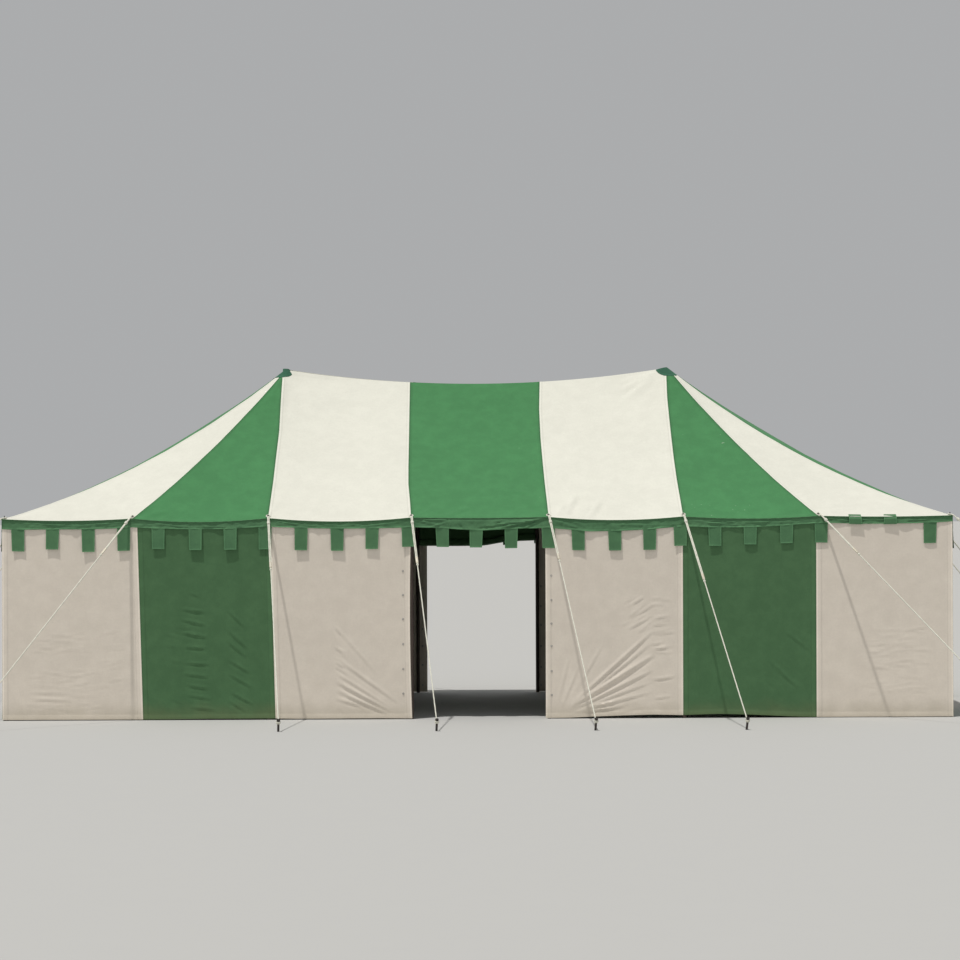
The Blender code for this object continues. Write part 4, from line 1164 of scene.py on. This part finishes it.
def make_pole_group(name, places, ends):
    """Side poles with their ferrules and pins, and the line that the wall hangs from."""
    woods = []
    irons = []
    for x, y in places:
        woods.append(turned_shell((x, y, 0.0), UP, POLE_PROFILE, 20))
        irons.append(sleeve_shell(x, y, *FERRULE, 20))
        irons.append(turned_shell((x, y, PIN_FOOT), UP, PIN_PROFILE, 14))
    make_piece(f"{name}_wood", woods, SHADE_DARKENED_POLE_WOOD, [name])
    make_piece(f"{name}_pins", irons, DARK_STEEL)
    path = [(*end, EAVE_HEIGHT - WALL_LINE_DROP) for end in ends]
    make_piece(f"{name}_wall_line", [rope_shell(path, LINE_RADIUS, 0.02, 0.06, 6)], GUY_ROPE)


def make_poles():
    middle = (FRONT_BAYS + 1) // 2
    for side, sign in LONG_SIDES.items():
        line_y = sign * (HALF_DEPTH - WALL_LINE_INSET)
        for half, places in (("left", PINS[side][:middle]), ("right", PINS[side][middle:])):
            ends = [(places[0][0], line_y), (places[-1][0], line_y)]
            make_pole_group(f"{side}_{half}_side_poles", places, ends)
    for side, sign in ENDS.items():
        places = PINS[side]
        line_x = sign * (HALF_LENGTH - WALL_LINE_INSET)
        make_pole_group(f"{side}_side_poles", places, [(line_x, places[0][1]), (line_x, places[-1][1])])
        pole = turned_shell((sign * PEAK_X, 0.0, 0.0), UP, KING_PROFILE, 28)
        sleeve = sleeve_shell(sign * PEAK_X, 0.0, *KING_SLEEVE, 28)
        make_piece(f"{side}_king_pole_wood", [pole], SHADE_DARKENED_POLE_WOOD, [f"{side}_king_pole"])
        make_piece(f"{side}_king_pole_sleeve", [sleeve], DARK_STEEL)


# Guy lines

SLIDER_REACH = 0.0375
SLIDER_SECTIONS = np.array(
    (
        (-1.0, 0.35), (-0.96, 0.75), (-0.86, 0.93), (-0.6, 1.0), (0.0, 0.94),
        (0.6, 1.0), (0.86, 0.93), (0.96, 0.75), (1.0, 0.35),
    )
)
WHIPPING_PROFILE = (
    (0.0, 0.0125), (0.004, 0.0165), (0.011, 0.0150), (0.018, 0.0168), (0.025, 0.0152), (0.030, 0.0122),
)
KNOT_PROFILE = ((0.0, 0.006), (0.004, 0.0115), (0.010, 0.0140), (0.016, 0.0118), (0.021, 0.0062))
COIL_PITCH = 0.0115
EAVE_ROPE_RADIUS = 0.0045
PEG_LENGTH = math.hypot(PEG_LEAN, PEG_HEIGHT)
PEG_PROFILE = (
    (0.0, PEG_RADIUS * 0.92), (0.01, PEG_RADIUS), (PEG_LENGTH - 0.016, PEG_RADIUS),
    (PEG_LENGTH - 0.015, PEG_RADIUS * 1.45), (PEG_LENGTH - 0.006, PEG_RADIUS * 1.55),
    (PEG_LENGTH - 0.001, PEG_RADIUS * 1.25),
)
GROMMET_PROFILE = ((0.0, 0.0172), (0.0025, 0.0178), (0.0045, 0.0160), (0.0058, 0.0110), (0.0062, 0.0052))


def slider_shell(middle, slope, level):
    """A flat wooden slider with rounded corners, along the rope."""
    half_width = 0.0135
    half_thickness = 0.0078
    squareness = 0.6
    along, sizes = SLIDER_SECTIONS.T
    angles = FULL_TURN * np.arange(16)[:, None] / 16
    wide = np.sign(np.cos(angles)) * np.abs(np.cos(angles)) ** squareness
    thick = np.sign(np.sin(angles)) * np.abs(np.sin(angles)) ** squareness
    outline = wide * half_width * level + thick * half_thickness * np.cross(slope, level)
    centres = middle + slope * along[:, None] * SLIDER_REACH
    rings = centres[:, None] + sizes[:, None, None] * outline
    vertices, faces, uv, edges = closed_tube(rings, centres[[0, -1]], along)
    return vertices, faces, 0 * uv, edges


def guy_pieces(pin, over, peg, slider_drop):
    """Shells of one guy: rope with its loop and hitch, slider, and peg."""
    loop_centre = np.array((*pin, float(roof_height(*pin)) + LOOP_RISE))
    crossing = np.array((*over, EAVE_HEIGHT + GUY_RADIUS))
    axis = roof_normal(*pin)
    outward = crossing - loop_centre
    outward[2] = 0.0
    outward = unit(outward - axis * (outward @ axis))
    aside = np.cross(axis, outward)
    loop_radius = LOOP_RADIUS + 0.005
    whipping_place = 0.05
    knot_gap = 0.008
    inside_slider = 0.02
    past_slider = 0.028
    away = unit((peg[0] - over[0], peg[1] - over[1], 0.0))
    peg_foot = np.array((*peg, 0.0))
    peg_axis = away * PEG_LEAN + UP * PEG_HEIGHT
    hitch = peg_foot + peg_axis * HITCH_HEIGHT / PEG_HEIGHT
    slope = unit(hitch - crossing)
    level = unit(np.cross(slope, UP))
    middle = crossing + (hitch - crossing) * slider_drop / (crossing[2] - hitch[2])

    ropes = [ring_shell(loop_centre - axis * 0.003, axis, loop_radius, GUY_RADIUS * 0.9, 22, 8)]
    start = loop_centre + outward * loop_radius * 0.8
    for sign in (-1, 1):
        spread = sign * GUY_RADIUS * 1.02
        path = [
            start - aside * spread,
            crossing + level * spread,
            middle - slope * inside_slider + level * spread * 1.05,
            middle + slope * past_slider + level * spread * 0.9,
        ]
        ropes.append(rope_shell(path, GUY_RADIUS * 0.97))
    ropes.append(turned_shell(crossing + slope * whipping_place, slope, WHIPPING_PROFILE, 12))
    ropes.append(rope_shell([middle + slope * inside_slider, hitch - slope * PEG_RADIUS], GUY_RADIUS))
    ropes.append(turned_shell(middle + slope * (SLIDER_REACH + knot_gap), slope, KNOT_PROFILE, 12))
    turns = np.linspace(0.0, 2 * FULL_TURN, 41)[:, None]
    stem = unit(peg_axis)
    arms = np.cos(turns) * level + np.sin(turns) * np.cross(stem, level)
    climb = COIL_PITCH * turns / FULL_TURN - GUY_RADIUS
    coil = hitch + (PEG_RADIUS + GUY_RADIUS * 0.9) * arms + stem * climb
    ropes.append(rope_shell(coil, GUY_RADIUS * 0.95, 0.006))
    return ropes, slider_shell(middle, slope, level), turned_shell(peg_foot, peg_axis, PEG_PROFILE, 16)


def make_guy_group(side, guys, half, count):
    """The guys of one side and the rope along the roof's edge."""
    ropes = []
    sliders = []
    stakes = []
    for guy in guys:
        rope, slider, stake = guy_pieces(*guy)
        ropes += rope
        sliders.append(slider)
        stakes.append(stake)
    make_piece(f"{side}_guy_ropes", ropes, GUY_ROPE, [f"{side}_guy_lines"])
    make_piece(f"{side}_guy_sliders", sliders, SLIDER_WOOD)
    make_piece(f"{side}_ground_pegs", stakes, DARK_STEEL)
    along = np.linspace(-half, half, count)
    path = wall_place(side, along, EAVE_ROPE_OUT, EAVE_HEIGHT - eave_dip(along, half, side))
    rope = rope_shell(path, EAVE_ROPE_RADIUS, 0.02, 0.05, 6)
    make_piece(f"{side}_eave_rope", [rope], EDGE_ROPE)


def make_guys():
    eave_y = HALF_DEPTH + EAVE_ROPE_OUT
    eave_x = HALF_LENGTH + EAVE_ROPE_OUT
    for side, sign in LONG_SIDES.items():
        guys = []
        for number, pin in enumerate(PINS[side]):
            if number in (0, FRONT_BAYS):
                end = -1 if number == 0 else 1
                over = (end * eave_x, sign * eave_y)
                peg = (over[0] + end * CORNER_PEGS[side][0], over[1] + sign * CORNER_PEGS[side][1])
            else:
                step = GUY_SIDESTEPS[side][number - 1]
                over = (pin[0] + step * (POLE_INSET + EAVE_ROPE_OUT) / PEG_DISTANCE, sign * eave_y)
                peg = (over[0] + step, over[1] + sign * PEG_DISTANCE)
            guys.append((pin, over, peg, SLIDER_DROPS[number]))
        make_guy_group(side, guys, HALF_LENGTH, 141)
    for side, sign in ENDS.items():
        guys = []
        for pin in PINS[side]:
            over = (sign * eave_x, pin[1])
            guys.append((pin, over, (over[0] + sign * PEG_DISTANCE, pin[1]), END_SLIDER_DROP))
        make_guy_group(side, guys, HALF_DEPTH, 61)


def make_roof_grommets():
    """A domed iron washer round each pin, lying on the roof's hem."""
    for side, places in PINS.items():
        shells = []
        for x, y in places:
            axis = roof_normal(x, y)
            base = np.array((x, y, float(roof_height(x, y)))) + axis * 0.0035
            shells.append(turned_shell(base, axis, GROMMET_PROFILE, 20))
        make_piece(f"{side}_roof_grommets", shells, DARK_STEEL)


# Stage, light and camera

def make_stage():
    mesh = bpy.data.meshes.new("studio_floor")
    reach = 260.0
    turns = np.linspace(0, FULL_TURN, 97)[:-1]
    corners = [(math.cos(turn) * reach, math.sin(turn) * reach, 0.0) for turn in turns]
    mesh.from_pydata(corners, [], [list(range(len(corners)))])
    mesh.materials.append(stage_material("pale_floor", (0.50, 0.495, 0.48)))
    floor = add_object("studio_floor", mesh)


def make_light():
    toward_sun = Vector((-0.95, -1.0, 4.8))
    sun = bpy.data.lights.new("key_light", "SUN")
    sun.energy = 2.48
    sun.angle = math.radians(1.2)
    sun.color = (1.0, 0.985, 0.95)
    lamp = add_object("key_light", sun)
    lamp.rotation_mode = "QUATERNION"
    lamp.rotation_quaternion = toward_sun.to_track_quat("Z", "Y")
    world = bpy.data.worlds.new("studio_world")
    world.use_nodes = True
    background = world.node_tree.nodes["Background"]
    background.inputs["Color"].default_value = (0.97, 0.985, 1.0, 1.0)
    background.inputs["Strength"].default_value = 0.42
    bpy.context.scene.world = world
    bpy.context.scene.view_settings.view_transform = "Standard"
    bpy.context.scene.view_settings.look = "None"


def make_camera():
    """A long lens from straight in front, a little above the eave."""
    distance = 31.0
    eye_height = 2.1609
    focal_pixels = 2916.5
    picture_pixels = 960
    yaw = -0.0010
    pitch = 0.0073
    roll = -0.0041
    level_right = Vector((math.cos(yaw), math.sin(yaw), 0.0))
    level_ahead = Vector((-math.sin(yaw), math.cos(yaw), 0.0))
    ahead = level_ahead * math.cos(pitch) + Vector(UP) * math.sin(pitch)
    raised = Vector(UP) * math.cos(pitch) - level_ahead * math.sin(pitch)
    right = level_right * math.cos(roll) + raised * math.sin(roll)
    top = raised * math.cos(roll) - level_right * math.sin(roll)
    data = bpy.data.cameras.new("camera")
    data.sensor_width = 36.0
    data.lens = data.sensor_width * focal_pixels / picture_pixels
    data.clip_end = 600.0
    camera = add_object("camera", data)
    turn = Matrix((right, top, -ahead)).transposed().to_4x4()
    camera.matrix_world = Matrix.Translation((0.0, -distance, eye_height)) @ turn
    bpy.context.scene.camera = camera


make_roof()
make_peak_caps()
make_walls()
make_door_eyelets()
make_rear_door_cloth()
make_valances()
make_poles()
make_guys()
make_roof_grommets()
make_stage()
make_light()
make_camera()
